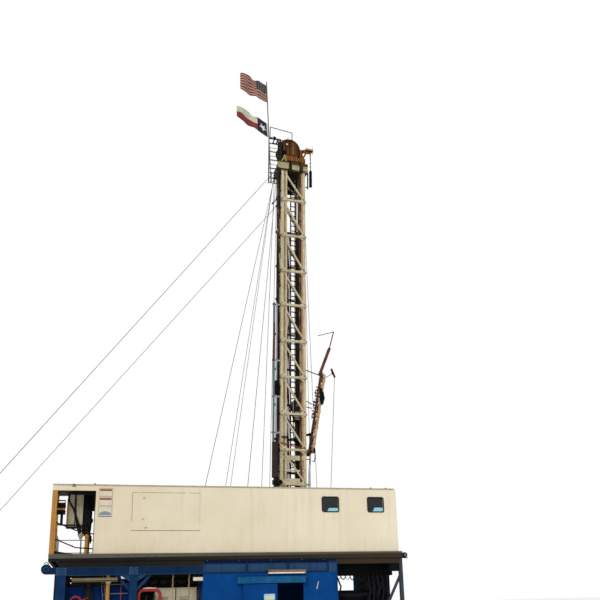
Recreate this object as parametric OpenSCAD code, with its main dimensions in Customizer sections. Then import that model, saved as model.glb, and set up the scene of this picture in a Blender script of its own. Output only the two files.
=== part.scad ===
// Land drilling rig: skid base, raised deck, cabin under the deck, wall house on the deck
// and a latticed mast with its crown, racking board, block and stays.
// Millimetres, X along the house to the right, Y away from the house front, Z up.
// The origin is on the underside of the middle skid, at the middle of the rig.

/* [Skid and deck] */
// Length of the skids
skid_len = 13600; // [12800:100:15000]
// Height of the skid beams
skid_h = 250; // [200:10:300]
// Width of the skid beams
skid_w = 250; // [200:10:300]
// Height of the deck above the ground
deck_z = 3350; // [3200:10:3600]
// Front edge of the deck
deck_y0 = -4650; // [-4700:10:-4640]
// Back edge of the deck
deck_y1 = 4850; // [4600:10:5200]
// Thickness of the deck plate
plate_t = 50; // [30:5:60]
// Height of the edge beam
edge_h = 210; // [180:10:240]
// Height of the blue girders
girder_h = 300; // [260:10:340]
// Distance between the joists
joist_pitch = 1100; // [900:50:1200]
// Width of the square opening over the well
well_w = 900; // [800:50:1100]

/* [Cabin] */
// Left end of the cabin
cabin_x0 = -1190; // [-1400:10:-1000]
// Right end of the cabin
cabin_x1 = 4142; // [3900:10:4300]
// Depth of the cabin
cabin_d = 3000; // [2600:50:3400]
// Thickness of the cabin walls
cabin_t = 60; // [50:5:90]
// Left side of the doorway
door_x0 = 1668; // [1600:5:1750]
// Width of the doorway
door_w = 1075; // [950:5:1100]
// Top of the doorway above the ground
door_top = 2210; // [2150:5:2230]
// Width of the sliding door
slide_w = 1330; // [1250:5:1331]
// Thickness of the sliding door
slide_t = 50; // [40:5:60]

/* [House] */
// Height of the house above the deck
house_h = 2550; // [2400:10:2700]
// Depth of the house
house_d = 2600; // [2400:50:2800]
// Thickness of the house walls
house_t = 80; // [60:5:100]
// Thickness of the roof
roof_t = 70; // [60:5:100]
// Length of the open bay at the left end
bay_w = 1560; // [1400:10:1700]
// Width of a window
window_w = 665; // [620:5:780]
// Height of a window
window_h = 560; // [520:10:660]
// Corner radius of a window
window_r = 50; // [40:5:110]
// Height of the middle of the windows above the deck
window_z = 1880; // [1800:10:1900]
// Middle of the first window
window_x1 = 3955; // [3800:5:4100]
// Middle of the second window
window_x2 = 5910; // [5700:5:6000]

/* [Mast] */
// Middle of the mast at the ground
mast_x = 4006; // [3950:2:4050]
// Lean of the mast to the right in degrees
mast_lean = 1.19; // [1.1:0.01:1.3]
// Width of the mast
mast_w = 1340; // [1300:10:1380]
// Near side of the mast
mast_y0 = 1700; // [1650:10:1750]
// Far side of the mast
mast_y1 = 2800; // [2760:10:2850]
// Size of the leg tubes
leg_w = 140; // [120:5:160]
// Size of the inner leg tubes
inner_w = 90; // [80:5:100]
// Size of the crossbars
girt_w = 110; // [90:5:120]
// Size of the diagonals
diag_w = 80; // [60:5:90]
// Height of the mast above the ground, at the underside of the crown
mast_top = 24300; // [24200:10:24400]

/* [Crown] */
// Height of the crown beams
crown_h = 500; // [450:10:550]
// Overhang of the crown beams past the legs
crown_over = 150; // [120:10:200]
// Radius of the crown sheaves
sheave_r = 400; // [360:10:420]
// Radius of the sheave shaft
shaft_r = 45; // [40:1:60]
// Radius of the flag pole
pole_r = 30; // [25:1:40]

/* [Racking board] */
// Length of the far side of the board from its hinge
board_len = 4550; // [4300:50:4800]
// Length of the near side of the board
board_near = 4200; // [4000:50:4400]
// Lean of the folded board in degrees
board_lean = 10.4; // [9:0.1:12]
// Size of the side beams
board_beam = 120; // [100:5:140]

/* [Block and lines] */
// Height of the top of the travelling block
block_top = 11300; // [10800:50:11600]
// Radius of the block sheaves
block_r = 300; // [260:10:320]
// Diameter of the drilling lines
line_d = 28; // [24:1:36]
// Diameter of the guy lines
guy_d = 24; // [20:1:32]

/* [Hidden] */

flange_t = 20;
web_t = 16;
deck_x0 = -skid_len / 2 - 20;
deck_x1 = skid_len / 2 + 160;
skid_ys = [deck_y0 + skid_w / 2 + 50, 0, deck_y1 - skid_w / 2 - 50];
front_y = deck_y0 + 50;
girder_w = 200;
edge_t = 100;
seam = 0.5;
edge_z = deck_z - plate_t - edge_h;
joist_z0 = edge_z - edge_h;
girder_z = joist_z0 - girder_h;
joist_y0 = deck_y0 + edge_t;
joist_y1 = deck_y1 - edge_t;
post_x = [deck_x0 + 313, deck_x0 + 2904];
post_w = [330, 280];
leg_grey_w = 140;
leg_x = deck_x1 - leg_grey_w;
row_w = 280;
row_x = [post_x[0], post_x[1], 0, cabin_x1 - row_w, deck_x1 - row_w - 200];
header_y0 = deck_y0 + 30;
header_t = 60;
joist_w = 120;
cross_x = [cabin_x0 + 150, cabin_x0 - 650, cabin_x0 - 1850];
cabin_roof_t = 50;
cabin_floor_t = 40;
cabin_y1 = front_y + cabin_d;
cabin_z0 = skid_h + cabin_floor_t;
cabin_z1 = girder_z - cabin_roof_t;
door_x1 = door_x0 + door_w;
track_x0 = 111;
track_x1 = 2806;
track_t = 20;
track_d = 140;
track_z0 = door_top - 20;
track_h = 245;
slide_y = front_y - 70;
slide_x = door_x0 - slide_w - 1;
house_x0 = deck_x0;
house_x1 = leg_x;
house_y1 = front_y + house_d;
roof_z = deck_z + house_h - roof_t;
bay_x = house_x0 + bay_w;
hatch_x0 = bay_x + 1349;
hatch_z0 = deck_z + 847;
corner_w = 180;
rail_r = 24;
rail_zs = [550, 1150];
mid_y = (mast_y0 + mast_y1) / 2;
near_z = [3700, 5150, 6930, 8640, 10460, 12380, 14320, 16310, 18240, 20300, 22440];
far_shift = 720;
far_z = [for (z = near_z) z + far_shift];
split_k = 6;
split_gap = 60;
base_h = 180;
inner_x = 390;
crown_x0 = -mast_w / 2 - crown_over;
crown_x1 = mast_w / 2 + crown_over;
shaft_z = mast_top + crown_h + 700;
shaft_gap = 0.3;
cheek_y = 290;
arm_x = crown_x1 + 245;
arm_z = shaft_z + 350;
ladder_x = crown_x0 - 600;
ladder_w = 580;
ladder_y = mast_y0;
ladder_z0 = mast_top - 950;
arm_y = mid_y - cheek_y;
walk_x = ladder_x + 50;
walk_z = shaft_z + 640;
pole_y = mast_y0 - 60 - pole_r;
pole_foot = [ladder_x + 130, pole_y, ladder_z0];
pole_len = 6350;
pole_tip = [ladder_x - 180, pole_y, ladder_z0 + pole_len];
well_x = mast_x + shaft_z * sin(mast_lean);
board_x = mast_w / 2 + 385;
board_z = 8620;
board_pin_r = 40;
board_y0 = mast_y0 + 140;
board_y1 = mast_y1 - 140;
board_pin = [mast_y0 + 40, mast_y1 - 40];
board_lug_t = 80;
rung_pitch = 840;
line_y = [-165, 0, 165];
line_gap = line_d / 2 + 0.3;
pipe_x = -mast_w / 2 - 350;
pipe_gap = 130;
rope_len = 1250;
rope_r = 16;
vessel_x = -mast_w / 2 - 260;
pipe_z0 = 8990;
pipe_z1 = 16380;
clamp_z = [pipe_z0 + 450, pipe_z0 + 2310, pipe_z0 + 4210, pipe_z1 - 120];
drum_r = 350;
drum_z = deck_z + 700;
drum_x = mast_x - sheave_r - line_gap + drum_z * sin(mast_lean) - drum_r - line_gap;

guy_top = [[crown_x0, mast_y0 - 31, mast_top + 80], [-mast_w / 2, mast_y1 - 70, 22560]];
guy_foot = [[-13280, -4000, 330], [-14030, 6000, 330]];
guard_y = house_y1 + 120;
load_ends = [
    [[crown_x0, mast_y0 + 290, mast_top + 400], [-1360, guard_y, deck_z]],
    [[crown_x0, mast_y1 + 20, mast_top + 80], [740, deck_y1 - 150, deck_z]],
    [[crown_x0, mast_y1 - 60, mast_top + 200], [1050, deck_y1 - 150, deck_z]],
    [[crown_x0, mast_y0 + 300, mast_top + 80], [820, guard_y, deck_z]],
    [[crown_x0, mast_y1 - 160, mast_top + 80], [3040, deck_y1 - 150, deck_z]],
    [[crown_x0, mast_y0 + 330, mast_top + 300], [1980, guard_y, deck_z]],
    [[crown_x1, mast_y1 - 60, mast_top + 80], [5900, deck_y1 - 150, deck_z]],
    [[crown_x1, mast_y1 + 20, mast_top + 200], [6330, deck_y1 - 150, deck_z]],
];

// Square bar of size w between two points
module bar(a, b, w) {
    v = b - a;
    reach = norm(v);
    translate(a)
        rotate([0, acos(v.z / reach), atan2(v.y, v.x)])
            translate([-w / 2, -w / 2, 0]) cube([w, w, reach]);
}

// Round bar of radius r between two points, with n sides
module rod(a, b, r, n = 8) {
    v = b - a;
    reach = norm(v);
    translate(a)
        rotate([0, acos(v.z / reach), atan2(v.y, v.x)])
            cylinder(h = reach, r = r, $fn = n);
}

// Box between two opposite corners
module box(a, b) {
    translate(a) cube(b - a);
}

// World position of a point p given in the mast's own frame
function on_mast(p) = [mast_x + p.x * cos(mast_lean) + p.z * sin(mast_lean), p.y,
    p.z * cos(mast_lean) - p.x * sin(mast_lean)];

// Frame of the leaning mast, with its own Z up along the mast
module leaning() {
    translate([mast_x, 0, 0]) rotate([0, mast_lean, 0]) children();
}

// I-beam along X, standing on z = 0
module i_beam(len, w, h) {
    translate([-len / 2, 0, 0]) rotate([90, 0, 90])
        linear_extrude(len)
            polygon([[-w / 2, 0], [w / 2, 0], [w / 2, flange_t], [web_t / 2, flange_t],
                [web_t / 2, h - flange_t], [w / 2, h - flange_t], [w / 2, h], [-w / 2, h],
                [-w / 2, h - flange_t], [-web_t / 2, h - flange_t], [-web_t / 2, flange_t],
                [-w / 2, flange_t]]);
}

// Rounded window outline in the XZ plane, middle at the origin
module window_shape(grow, t) {
    w = window_w + 2 * grow;
    h = window_h + 2 * grow;
    r = window_r + grow;
    rotate([90, 0, 0]) translate([0, 0, -t / 2])
        linear_extrude(t) {
            square([w, h - 2 * r], center = true);
            square([w - 2 * r, h], center = true);
            for (sx = [-1, 1], sz = [-1, 1])
                translate([sx * (w / 2 - r), sz * (h / 2 - r)]) circle(r = r, $fn = 24);
        }
}

module skid_base() {
    color("#27418f") {
        for (y = skid_ys) translate([0, y, 0]) i_beam(skid_len, skid_w, skid_h);
        for (x = concat(row_x, cross_x), k = [0, 1])
            translate([x + row_w / 2, (skid_ys[k] + skid_ys[k + 1]) / 2, 0]) rotate([0, 0, 90])
                i_beam(skid_ys[k + 1] - skid_ys[k] - skid_w - 2 * seam, skid_w, skid_h);
    }
}

module front_posts() {
    mid = post_x[1] + post_w[1] / 2;
    color("#1f4aa8") {
        for (k = [0, 1])
            box([post_x[k], front_y, skid_h], [post_x[k] + post_w[k], front_y + girder_w, girder_z]);
        difference() {
            for (s = [-1, 1])
                bar([mid + s * 100, front_y + 100, girder_z - 560],
                    [mid + s * 660, front_y + 100, girder_z + 40], 110);
            box([post_x[1] - seam, front_y - 1, skid_h],
                [post_x[1] + post_w[1] + seam, front_y + girder_w + 1, girder_z]);
            box([mid - 1000, front_y - 1, girder_z - seam],
                [mid + 1000, front_y + girder_w + 1, girder_z + 200]);
        }
    }
    color("#7d8387") {
        box([leg_x, front_y, skid_h], [leg_x + leg_grey_w, front_y + leg_grey_w, edge_z]);
        difference() {
            bar([leg_x - 1160, front_y + 70, skid_h - 60], [leg_x + 60, front_y + 70, girder_z - 130], 90);
            box([leg_x - seam, front_y - 1, skid_h], [deck_x1 + 1, front_y + leg_grey_w + 1, edge_z]);
            box([leg_x - 1500, front_y - 1, 0], [deck_x1, front_y + leg_grey_w + 1, skid_h + seam]);
        }
    }
}

module rear_posts() {
    color("#1f4aa8")
        for (y = [-row_w / 2, skid_ys[2] - row_w / 2], x = row_x)
            box([x, y, skid_h], [x + row_w, y + row_w, girder_z]);
}

module deck_girders() {
    z1 = girder_z + girder_h;
    lug_x = post_x[0] - 360;
    lug_z = girder_z + 240;
    color("#1f4aa8") {
        box([post_x[0], front_y, girder_z], [cabin_x0, front_y + girder_w, z1]);
        for (y = [-row_w / 2, skid_ys[2] - row_w / 2])
            box([row_x[0], y, girder_z], [row_x[4] + row_w, y + row_w, z1]);
        for (x = [row_x[0], row_x[1], row_x[4]])
            box([x, front_y, girder_z], [x + row_w, skid_ys[2], z1]);
        translate([lug_x, front_y + 30, lug_z]) rotate([-90, 0, 0])
            cylinder(h = 150, r = 180, $fn = 36);
        box([lug_x, front_y + 30, girder_z + 60], [post_x[0] + 1, front_y + 180, z1]);
    }
}

module deck_joists() {
    clear = well_w / 2 + joist_w;
    color("#4a3b32")
        for (x = [deck_x0 + 420 : joist_pitch : deck_x1 - 400])
            if (abs(x + joist_w / 2 - well_x) > clear)
                box([x, (x > cabin_x0 && x < cabin_x1) ? front_y + girder_w : joist_y0, joist_z0],
                    [x + joist_w, joist_y1, edge_z + edge_h]);
}

module deck_edge() {
    color("#8d9094") {
        for (y = [deck_y0, joist_y1])
            box([deck_x0, y, edge_z], [deck_x1, y + edge_t, edge_z + edge_h]);
        for (x = [deck_x0, deck_x1 - edge_t])
            box([x, joist_y0 + seam, edge_z], [x + edge_t, joist_y1 - seam, edge_z + edge_h]);
        for (x = [[deck_x0 + 400, cabin_x0 - seam], [cabin_x1 + seam, leg_x - seam]])
            box([x[0], header_y0, joist_z0], [x[1], header_y0 + header_t, edge_z + 1]);
        translate([deck_x1 + 130, deck_y0 + 30, edge_z + 110]) rotate([-90, 0, 0])
            cylinder(h = 360, r = 100, $fn = 36);
        box([deck_x1 - 1, deck_y0 + 30, edge_z + 60], [deck_x1 + 130, deck_y0 + 70, edge_z + 160]);
    }
}

module deck_plate() {
    color("#6e6f70")
        difference() {
            box([deck_x0, deck_y0, deck_z - plate_t], [deck_x1, deck_y1, deck_z]);
            translate([well_x - well_w / 2, mid_y - well_w / 2, deck_z - plate_t - 1])
                cube([well_w, well_w, plate_t + 2]);
        }
}

module cabin_floor() {
    color("#3a3d42")
        box([cabin_x0, front_y, skid_h], [cabin_x1, cabin_y1, cabin_z0]);
}

module cabin_front_left() {
    color("#1b4fb5")
        box([cabin_x0, front_y, cabin_z0], [door_x0, front_y + cabin_t, cabin_z1]);
}

module cabin_front_right() {
    color("#1b4fb5")
        box([door_x1, front_y, cabin_z0], [cabin_x1, front_y + cabin_t, cabin_z1]);
}

module cabin_lintel() {
    color("#1b4fb5")
        box([door_x0, front_y, door_top], [door_x1, front_y + cabin_t, cabin_z1]);
}

module cabin_walls() {
    color("#1b4fb5") {
        box([cabin_x0, front_y + cabin_t, cabin_z0], [cabin_x0 + cabin_t, cabin_y1, cabin_z1]);
        box([cabin_x1 - cabin_t, front_y + cabin_t, cabin_z0], [cabin_x1, cabin_y1, cabin_z1]);
        box([cabin_x0, cabin_y1 - cabin_t, cabin_z0], [cabin_x1, cabin_y1, cabin_z1]);
    }
}

module cabin_roof() {
    color("#1b4fb5")
        box([cabin_x0, front_y, cabin_z1], [cabin_x1, cabin_y1, girder_z]);
}

module cabin_fascia() {
    rib = (cabin_x1 - cabin_x0 - 400) / 3;
    color("#1b4fb5")
        difference() {
            box([cabin_x0, front_y, girder_z], [cabin_x1, front_y + girder_w, edge_z]);
            for (k = [0 : 2])
                translate([cabin_x0 + 60 + k * rib, front_y - 1, girder_z + 60])
                    cube([rib - 60, 61, edge_z - girder_z - 120]);
        }
}

module sliding_door() {
    color("#1b4fb5") {
        box([slide_x, slide_y - slide_t / 2, cabin_z0 + 10],
            [slide_x + slide_w, slide_y + slide_t / 2, track_z0 - 10]);
        for (x = [slide_x + 150, slide_x + slide_w - 230]) {
            box([x, slide_y - 5, track_z0 - 11], [x + 80, slide_y + 5, track_z0 + track_t + 10]);
            box([x - 20, slide_y - 30, track_z0 + track_t + 0.3], [x + 100, slide_y + 30,
                track_z0 + track_t + 60]);
        }
    }
}

module door_track() {
    color("#3f73c8")
        difference() {
            box([track_x0, front_y - track_d, track_z0], [track_x1, front_y, track_z0 + track_h]);
            box([track_x0 + track_t, front_y - track_d + track_t, track_z0 + track_t],
                [track_x1 - track_t, front_y - track_t, track_z0 + track_h - track_t]);
            box([track_x0 + track_t, slide_y - 12, track_z0 - 1],
                [track_x1 - track_t, slide_y + 12, track_z0 + track_t + 1]);
        }
}

module door_light() {
    color("#e8d3a0")
        box([door_x0 - 384, front_y - 60, cabin_z1], [door_x1 + 90, front_y, cabin_z1 + 150]);
}

module house_front_wall() {
    color("#e9e4d6")
        difference() {
            box([bay_x, front_y, deck_z], [house_x1, front_y + house_t, roof_z]);
            for (x = [window_x1, window_x2])
                translate([x, front_y + house_t / 2, deck_z + window_z]) window_shape(0, house_t + 2);
        }
}

module house_bay_wall() {
    color("#e9e4d6")
        difference() {
            box([bay_x, front_y + house_t, deck_z], [bay_x + house_t, house_y1 - house_t, roof_z]);
            box([bay_x - 1, front_y + 850, deck_z - 1],
                [bay_x + house_t + 1, front_y + 1800, deck_z + 2050]);
        }
}

module house_right_wall() {
    color("#e9e4d6")
        box([house_x1 - house_t, front_y + house_t, deck_z], [house_x1, house_y1 - house_t, roof_z]);
}

module house_back_wall() {
    color("#e9e4d6")
        difference() {
            box([bay_x, house_y1 - house_t, deck_z], [house_x1, house_y1, roof_z]);
            for (x = [window_x1, window_x2])
                translate([x, house_y1 - house_t / 2, deck_z + window_z])
                    window_shape(0, house_t + 2);
        }
}

module house_roof() {
    color("#e9e4d6")
        rotate([90, 0, 0]) translate([0, 0, -house_y1])
            linear_extrude(house_d) {
                translate([house_x0, roof_z]) square([house_x1 - roof_t - house_x0, roof_t]);
                intersection() {
                    translate([house_x1 - roof_t, roof_z]) circle(r = roof_t, $fn = 32);
                    translate([house_x0, roof_z]) square([house_x1 - house_x0, roof_t]);
                }
            }
}

module bay_posts() {
    color("#b9812f")
        for (y = [front_y, house_y1 - corner_w])
            box([house_x0, y, deck_z], [house_x0 + corner_w, y + corner_w, roof_z]);
}

module bay_header() {
    color("#e9e4d6")
        for (y = [[front_y, 170], [house_y1 - house_t, 60]])
            box([house_x0 + corner_w, y[0], roof_z - y[1]], [bay_x, y[0] + house_t, roof_z]);
}

module window_frames() {
    color("#1a1a1c")
        for (x = [window_x1, window_x2], side = [0, 1])
            translate([x, side == 0 ? front_y - 10 : house_y1 + 10, deck_z + window_z])
                difference() {
                    window_shape(35, 20);
                    window_shape(0, 22);
                }
}

module window_panes() {
    color("#20262c")
        for (x = [window_x1, window_x2], y = [front_y + house_t / 2, house_y1 - house_t / 2])
            translate([x, y, deck_z + window_z]) window_shape(0, 12);
}

module wall_hatch() {
    color("#e4dfd0")
        box([hatch_x0, front_y - 12, hatch_z0], [hatch_x0 + 2553, front_y, hatch_z0 + 1408]);
}

// One straight run of guard rail from a to b, with its posts
module rail_run(a, b, bays) {
    for (z = rail_zs)
        rod(a + [0, 0, z], b + [0, 0, z], rail_r, 6);
    for (k = [0 : bays])
        rod(a + (b - a) * k / bays, a + (b - a) * k / bays + [0, 0, rail_zs[1]], rail_r, 6);
}

module deck_rails() {
    edge = 60;
    x0 = deck_x0 + edge;
    x1 = deck_x1 - edge;
    y1 = deck_y1 - edge;
    color("#c9a14a") {
        rail_run([x0, front_y + corner_w + 30, deck_z], [x0, house_y1 - corner_w - 30, deck_z], 1);
        rail_run([x0, house_y1 + 40, deck_z], [x0, y1 - edge, deck_z], 4);
        rail_run([x0, y1, deck_z], [x1, y1, deck_z], 7);
        rail_run([x1, house_y1 + 40, deck_z], [x1, y1 - edge, deck_z], 4);
    }
}

module bay_equipment() {
    x = house_x0;
    y = front_y;
    low = deck_z + 1040;
    high = low + 1210;
    color("#c8c4ba")
        for (k = [0, 1])
            box([x + 550 + k * 300, y + 700, low], [x + 820 + k * 300, y + 950, high]);
    color("#2b2b2d") {
        box([x + 160, y + 420, low + 450], [x + 480, y + 740, low + 980]);
        box([x + 310, y + 530, low + 60], [x + 410, y + 650, low + 460]);
        box([x + corner_w + 30, y + 560, low - 10], [x + 1320, y + 640, low + 70]);
        box([x + 550, y + 639, low - 80], [x + 1320, y + 701, low]);
        box([x + 550, y + 700, high - 10], [x + 1470, y + 950, high + 80]);
        box([x + 1110, y + 620, deck_z + 720], [x + 1430, y + 980, high]);
    }
    color("#b9812f")
        translate([x + 1320, y + 740, deck_z]) cylinder(h = 760, r = 80, $fn = 24);
    color("#c8c4ba") {
        translate([x + 1085, y + 740, deck_z + 530]) cylinder(h = 230, r1 = 30, r2 = 125, $fn = 24);
        translate([x + 1105, y + 740, deck_z]) cylinder(h = 560, r = 30, $fn = 16);
    }
}

module under_deck_tank() {
    color("#1b4fb5")
        box([deck_x0 + 620, front_y + 500, skid_h],
            [post_x[1] + post_w[1] - 60, front_y + 1900, girder_z - 430]);
}

module under_deck_boxes() {
    w = 760;
    color("#d6d4cc")
        for (x = [cabin_x0 - 1740, cabin_x0 - 1740 + w + 40])
            box([x, front_y + 500, skid_h], [x + w, front_y + 1500, girder_z - 500]);
}

module under_deck_pipes() {
    x0 = post_x[1] + post_w[1] + 76;
    x1 = x0 + 790;
    z1 = girder_z - 550;
    r = 60;
    y = front_y + 150;
    color("#8c2a30") {
        for (x = [x0, x1]) rod([x, y, skid_h], [x, y, z1 - 120], r, 12);
        rod([x0, y, z1 - 130], [x0 + 130, y, z1], r, 12);
        rod([x1, y, z1 - 130], [x1 - 130, y, z1], r, 12);
        rod([x0 + 110, y, z1], [x1 - 110, y, z1], r, 12);
    }
    color("#b9812f")
        translate([post_x[0] + post_w[0] + 1500, front_y + 125, skid_h])
            cylinder(h = girder_z - skid_h, r = 70, $fn = 24);
}

// Rope hanging from the underside of the front girder
module hanging_rope(x) {
    color("#b09870")
        translate([x, front_y + 150, girder_z - rope_len]) cylinder(h = rope_len - 0.3, r = rope_r, $fn = 8);
}

module rope_left() {
    hanging_rope(cabin_x0 - 1120);
}

module rope_right() {
    hanging_rope(cabin_x0 - 515);
}

module mast_base() {
    x0 = mast_x - mast_w / 2 - 220;
    x1 = mast_x + mast_w / 2 + 360;
    inset = leg_w + 5;
    color("#d9cdb0")
        difference() {
            box([x0, mast_y0 - 140, deck_z], [x1, mast_y1 + 140, deck_z + base_h]);
            box([x0 + 260, mast_y0 + inset, deck_z - 1],
                [x1 + 1, mast_y1 - inset, deck_z + base_h + 1]);
        }
}

// Everything below the top of the mast base
module below_base() {
    box([mast_x - 2000, 0, 0], [mast_x + 2000, 4000, deck_z + base_h]);
}

// Legs of one mast side with its crossbars k0 to k1 - 1, at the heights zs.
// The crossbars lie on the outer face, and the near side faces the house.
module mast_side(zs, k0, k1, near) {
    y = near ? mast_y0 : mast_y1 - leg_w;
    face = near ? mast_y0 - 60 : mast_y1 + 60 - girt_w;
    z0 = k0 == 0 ? deck_z : zs[k0] - split_gap;
    z1 = k1 == len(zs) ? mast_top : zs[k1] - split_gap;
    h = z1 - z0;
    for (x = [-mast_w / 2, mast_w / 2 - leg_w])
        translate([x, y, z0]) cube([leg_w, leg_w, h]);
    for (s = [-1, 1])
        translate([s * inner_x - inner_w / 2, y + 10, z0]) cube([inner_w, leg_w - 20, h]);
    translate([-mast_w / 2 + leg_w - 5, y + 55, z0])
        cube([mast_w / 2 - leg_w - inner_x + 10, 30, h]);
    for (k = [k0 : k1 - 1]) {
        top = k == len(zs) - 1 ? mast_top : zs[k + 1];
        translate([-mast_w / 2 - 20, face, zs[k] - girt_w / 2])
            cube([mast_w + 40, girt_w, girt_w]);
        bar([-mast_w / 2 + 150, y + 30, top - 110], [mast_w / 2 - 70, y + 30, zs[k] + 70], diag_w);
    }
}

module mast_near_lower() {
    color("#d9cdb0")
        difference() {
            leaning() {
                mast_side(near_z, 0, split_k, true);
                for (z = [near_z[2] + 60, near_z[3] - 520])
                    translate([-mast_w / 2 + 100, mast_y0 + 10, z]) cube([mast_w - 200, 40, 230]);
                translate([-mast_w / 2 + 100, mast_y0 + 10, near_z[2] + 630])
                    cube([mast_w - 200, 40, 90]);
            }
            below_base();
        }
}

module mast_near_upper() {
    color("#d9cdb0") leaning() mast_side(near_z, split_k, len(near_z), true);
}

module mast_far_lower() {
    color("#cfc2a4")
        difference() {
            leaning() mast_side(far_z, 0, split_k, false);
            below_base();
        }
}

module mast_far_upper() {
    color("#cfc2a4") leaning() mast_side(far_z, split_k, len(far_z), false);
}

module mast_left_side() {
    color("#cfc2a4")
        leaning()
            for (k = [1 : len(near_z) - 1]) {
                translate([-mast_w / 2 + 10, mast_y0 + leg_w, near_z[k] - 60])
                    cube([90, mast_y1 - mast_y0 - 2 * leg_w, 120]);
                if (k < len(near_z) - 1)
                    bar([-mast_w / 2 + 50, mast_y0 + leg_w + 40, near_z[k] + 20],
                        [-mast_w / 2 + 50, mast_y1 - leg_w - 40, near_z[k + 1] - 20], 60);
            }
}

module crown_beams() {
    y0 = mast_y0 - 60;
    y1 = mast_y1 + 60;
    w = 160;
    z1 = mast_top + crown_h;
    color("#d9cdb0")
        leaning() {
            for (y = [y0, y1 - w]) box([crown_x0, y, mast_top], [crown_x1, y + w, z1]);
            for (x = [crown_x0, crown_x1 - w]) box([x, y0, mast_top], [x + w, y1, z1]);
            box([arm_x - 340, arm_y - 100, arm_z], [arm_x + 140, arm_y + 140, arm_z + 50]);
        }
    color("#a8661f")
        leaning() {
            box([440, arm_y - 40, arm_z - 160], [arm_x + 30, arm_y + 40, arm_z + 1]);
            box([440, arm_y - 40, z1 + 400], [600, arm_y + 40, arm_z - 159]);
            for (s = [-1, 1]) {
                y = mid_y + s * cheek_y;
                difference() {
                    union() {
                        box([-520, y - 40, z1 - 1], [620, y + 40, z1 + 640]);
                        box([-180, y - 40, z1 + 450], [180, y + 40, shaft_z + 120]);
                        box([-520, y - 60 + s * 70, z1 - 1], [620, y + 60 + s * 70, z1 + 40]);
                        box([crown_x0 + 20, y - 80, z1 - 160], [crown_x1 - 20, y + 80, z1 + 10]);
                    }
                    translate([0, y - 41, shaft_z]) rotate([-90, 0, 0])
                        cylinder(h = 82, r = shaft_r + shaft_gap, $fn = 48);
                }
            }
        }
}

module crown_guard() {
    z0 = mast_top + crown_h + 40;
    hood_x = -185;
    hood_r = 600;
    hood_z = shaft_z + 250;
    color("#8c4a1c")
        leaning()
            for (s = [-1, 1]) translate([0, mid_y + s * (cheek_y + 75) + 30, 0]) rotate([90, 0, 0]) {
                translate([hood_x, hood_z, 0]) cylinder(h = 60, r = hood_r, $fn = 48);
                translate([hood_x - 400, z0, 0]) cube([900, hood_z - z0, 60]);
            }
}

module crown_sheaves() {
    reach = cheek_y + 35;
    color("#34302c")
        leaning()
            translate([0, mid_y, shaft_z]) rotate([90, 0, 0]) {
                for (y = line_y)
                    translate([0, 0, y - 35]) cylinder(h = 70, r = sheave_r, $fn = 48);
                translate([0, 0, -reach]) cylinder(h = 2 * reach, r = shaft_r, $fn = 48);
            }
}

// Walkway frame beside the crown, with its guard rail
module crown_platform() {
    x1 = crown_x0 + 100;
    x2 = x1 + 640;
    y0 = mast_y0 - 20;
    y1 = mast_y0 + 450;
    r = 22;
    color("#4c4036")
        leaning() {
            box([walk_x, y0 - 40, walk_z - 60], [x1, y0 + 20, walk_z]);
            box([walk_x + 250, y1 - 60, walk_z - 60], [x1, y1, walk_z]);
            for (x = [walk_x + 250, x1 - 200, x1 - 60])
                box([x, y0, walk_z - 50], [x + 60, y1 - 10, walk_z - 10]);
            for (y = [y0, y1 - 40])
                bar([crown_x0 + 60, y, mast_top + crown_h], [crown_x0 + 60, y, walk_z - 10], 80);
            rod([walk_x + 30, y0, walk_z - 20], [walk_x + 30, y0, walk_z + 700], r, 6);
            rod([walk_x + 30, y0, walk_z + 700], [x2, y0, walk_z + 540], r, 6);
            rod([x2, y0, walk_z - 40], [x2, y0, walk_z + 545], r, 6);
            rod([x1 - 60, y0, walk_z - 30], [x2, y0, walk_z - 30], r, 6);
        }
}

module crown_ladder() {
    z1 = walk_z - 60;
    rail = 50;
    color("#3d332c")
        leaning() {
            for (x = [ladder_x, ladder_x + ladder_w - rail])
                box([x, ladder_y, ladder_z0], [x + rail, ladder_y + rail, z1]);
            for (z = [ladder_z0 + 120 : 260 : z1 - 60])
                rod([ladder_x + 20, ladder_y + 25, z], [ladder_x + ladder_w - 20, ladder_y + 25, z], 15, 6);
            box([ladder_x + ladder_w - rail, ladder_y, mast_top + 180],
                [crown_x0, ladder_y + rail, mast_top + 260]);
        }
}

module hanging_weight() {
    reach = arm_z - mast_top;
    color("#2a2a2c")
        leaning() translate([arm_x, arm_y, mast_top]) {
            translate([0, 0, reach - 220]) cylinder(h = 60, r = 30, $fn = 12);
            translate([0, 0, 200]) cylinder(h = reach - 400, r = 12, $fn = 8);
            translate([0, 0, -700]) cylinder(h = 950, r = 80, $fn = 16);
        }
}

// Plain cloth blown to the left of the flag pole: two corners at the pole, two at the free end
module flag_cloth(low, high, free_low, free_high, w) {
    x = [for (z = [low, high]) pole_foot.x + (pole_tip.x - pole_foot.x) * (z - ladder_z0) / pole_len
        - pole_r - 0.4];
    color("#b03038")
        leaning()
            translate([0, pole_y + 10, 0]) rotate([90, 0, 0])
                linear_extrude(20)
                    polygon([[x[0], low], [x[1], high], [x[1] - w, free_high], [x[0] - w, free_low]]);
}

module flag_pole() {
    tie_z = mast_top + 200;
    near = mast_y0 - 60 - 0.3;
    color("#d8d8d4")
        leaning() {
            rod(pole_foot, pole_tip, pole_r, 12);
            box([ladder_x + 10, pole_y, tie_z], [ladder_x + 110, ladder_y - 0.3, tie_z + 40]);
            box([walk_x - 80, pole_y - 40, walk_z - 50], [walk_x + 60, near, walk_z - 10]);
        }
}

module upper_flag() {
    flag_cloth(28330, 29460, 28900, 30050, 1580);
}

module lower_flag() {
    flag_cloth(26090, 26960, 27080, 27860, 1770);
}

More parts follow.
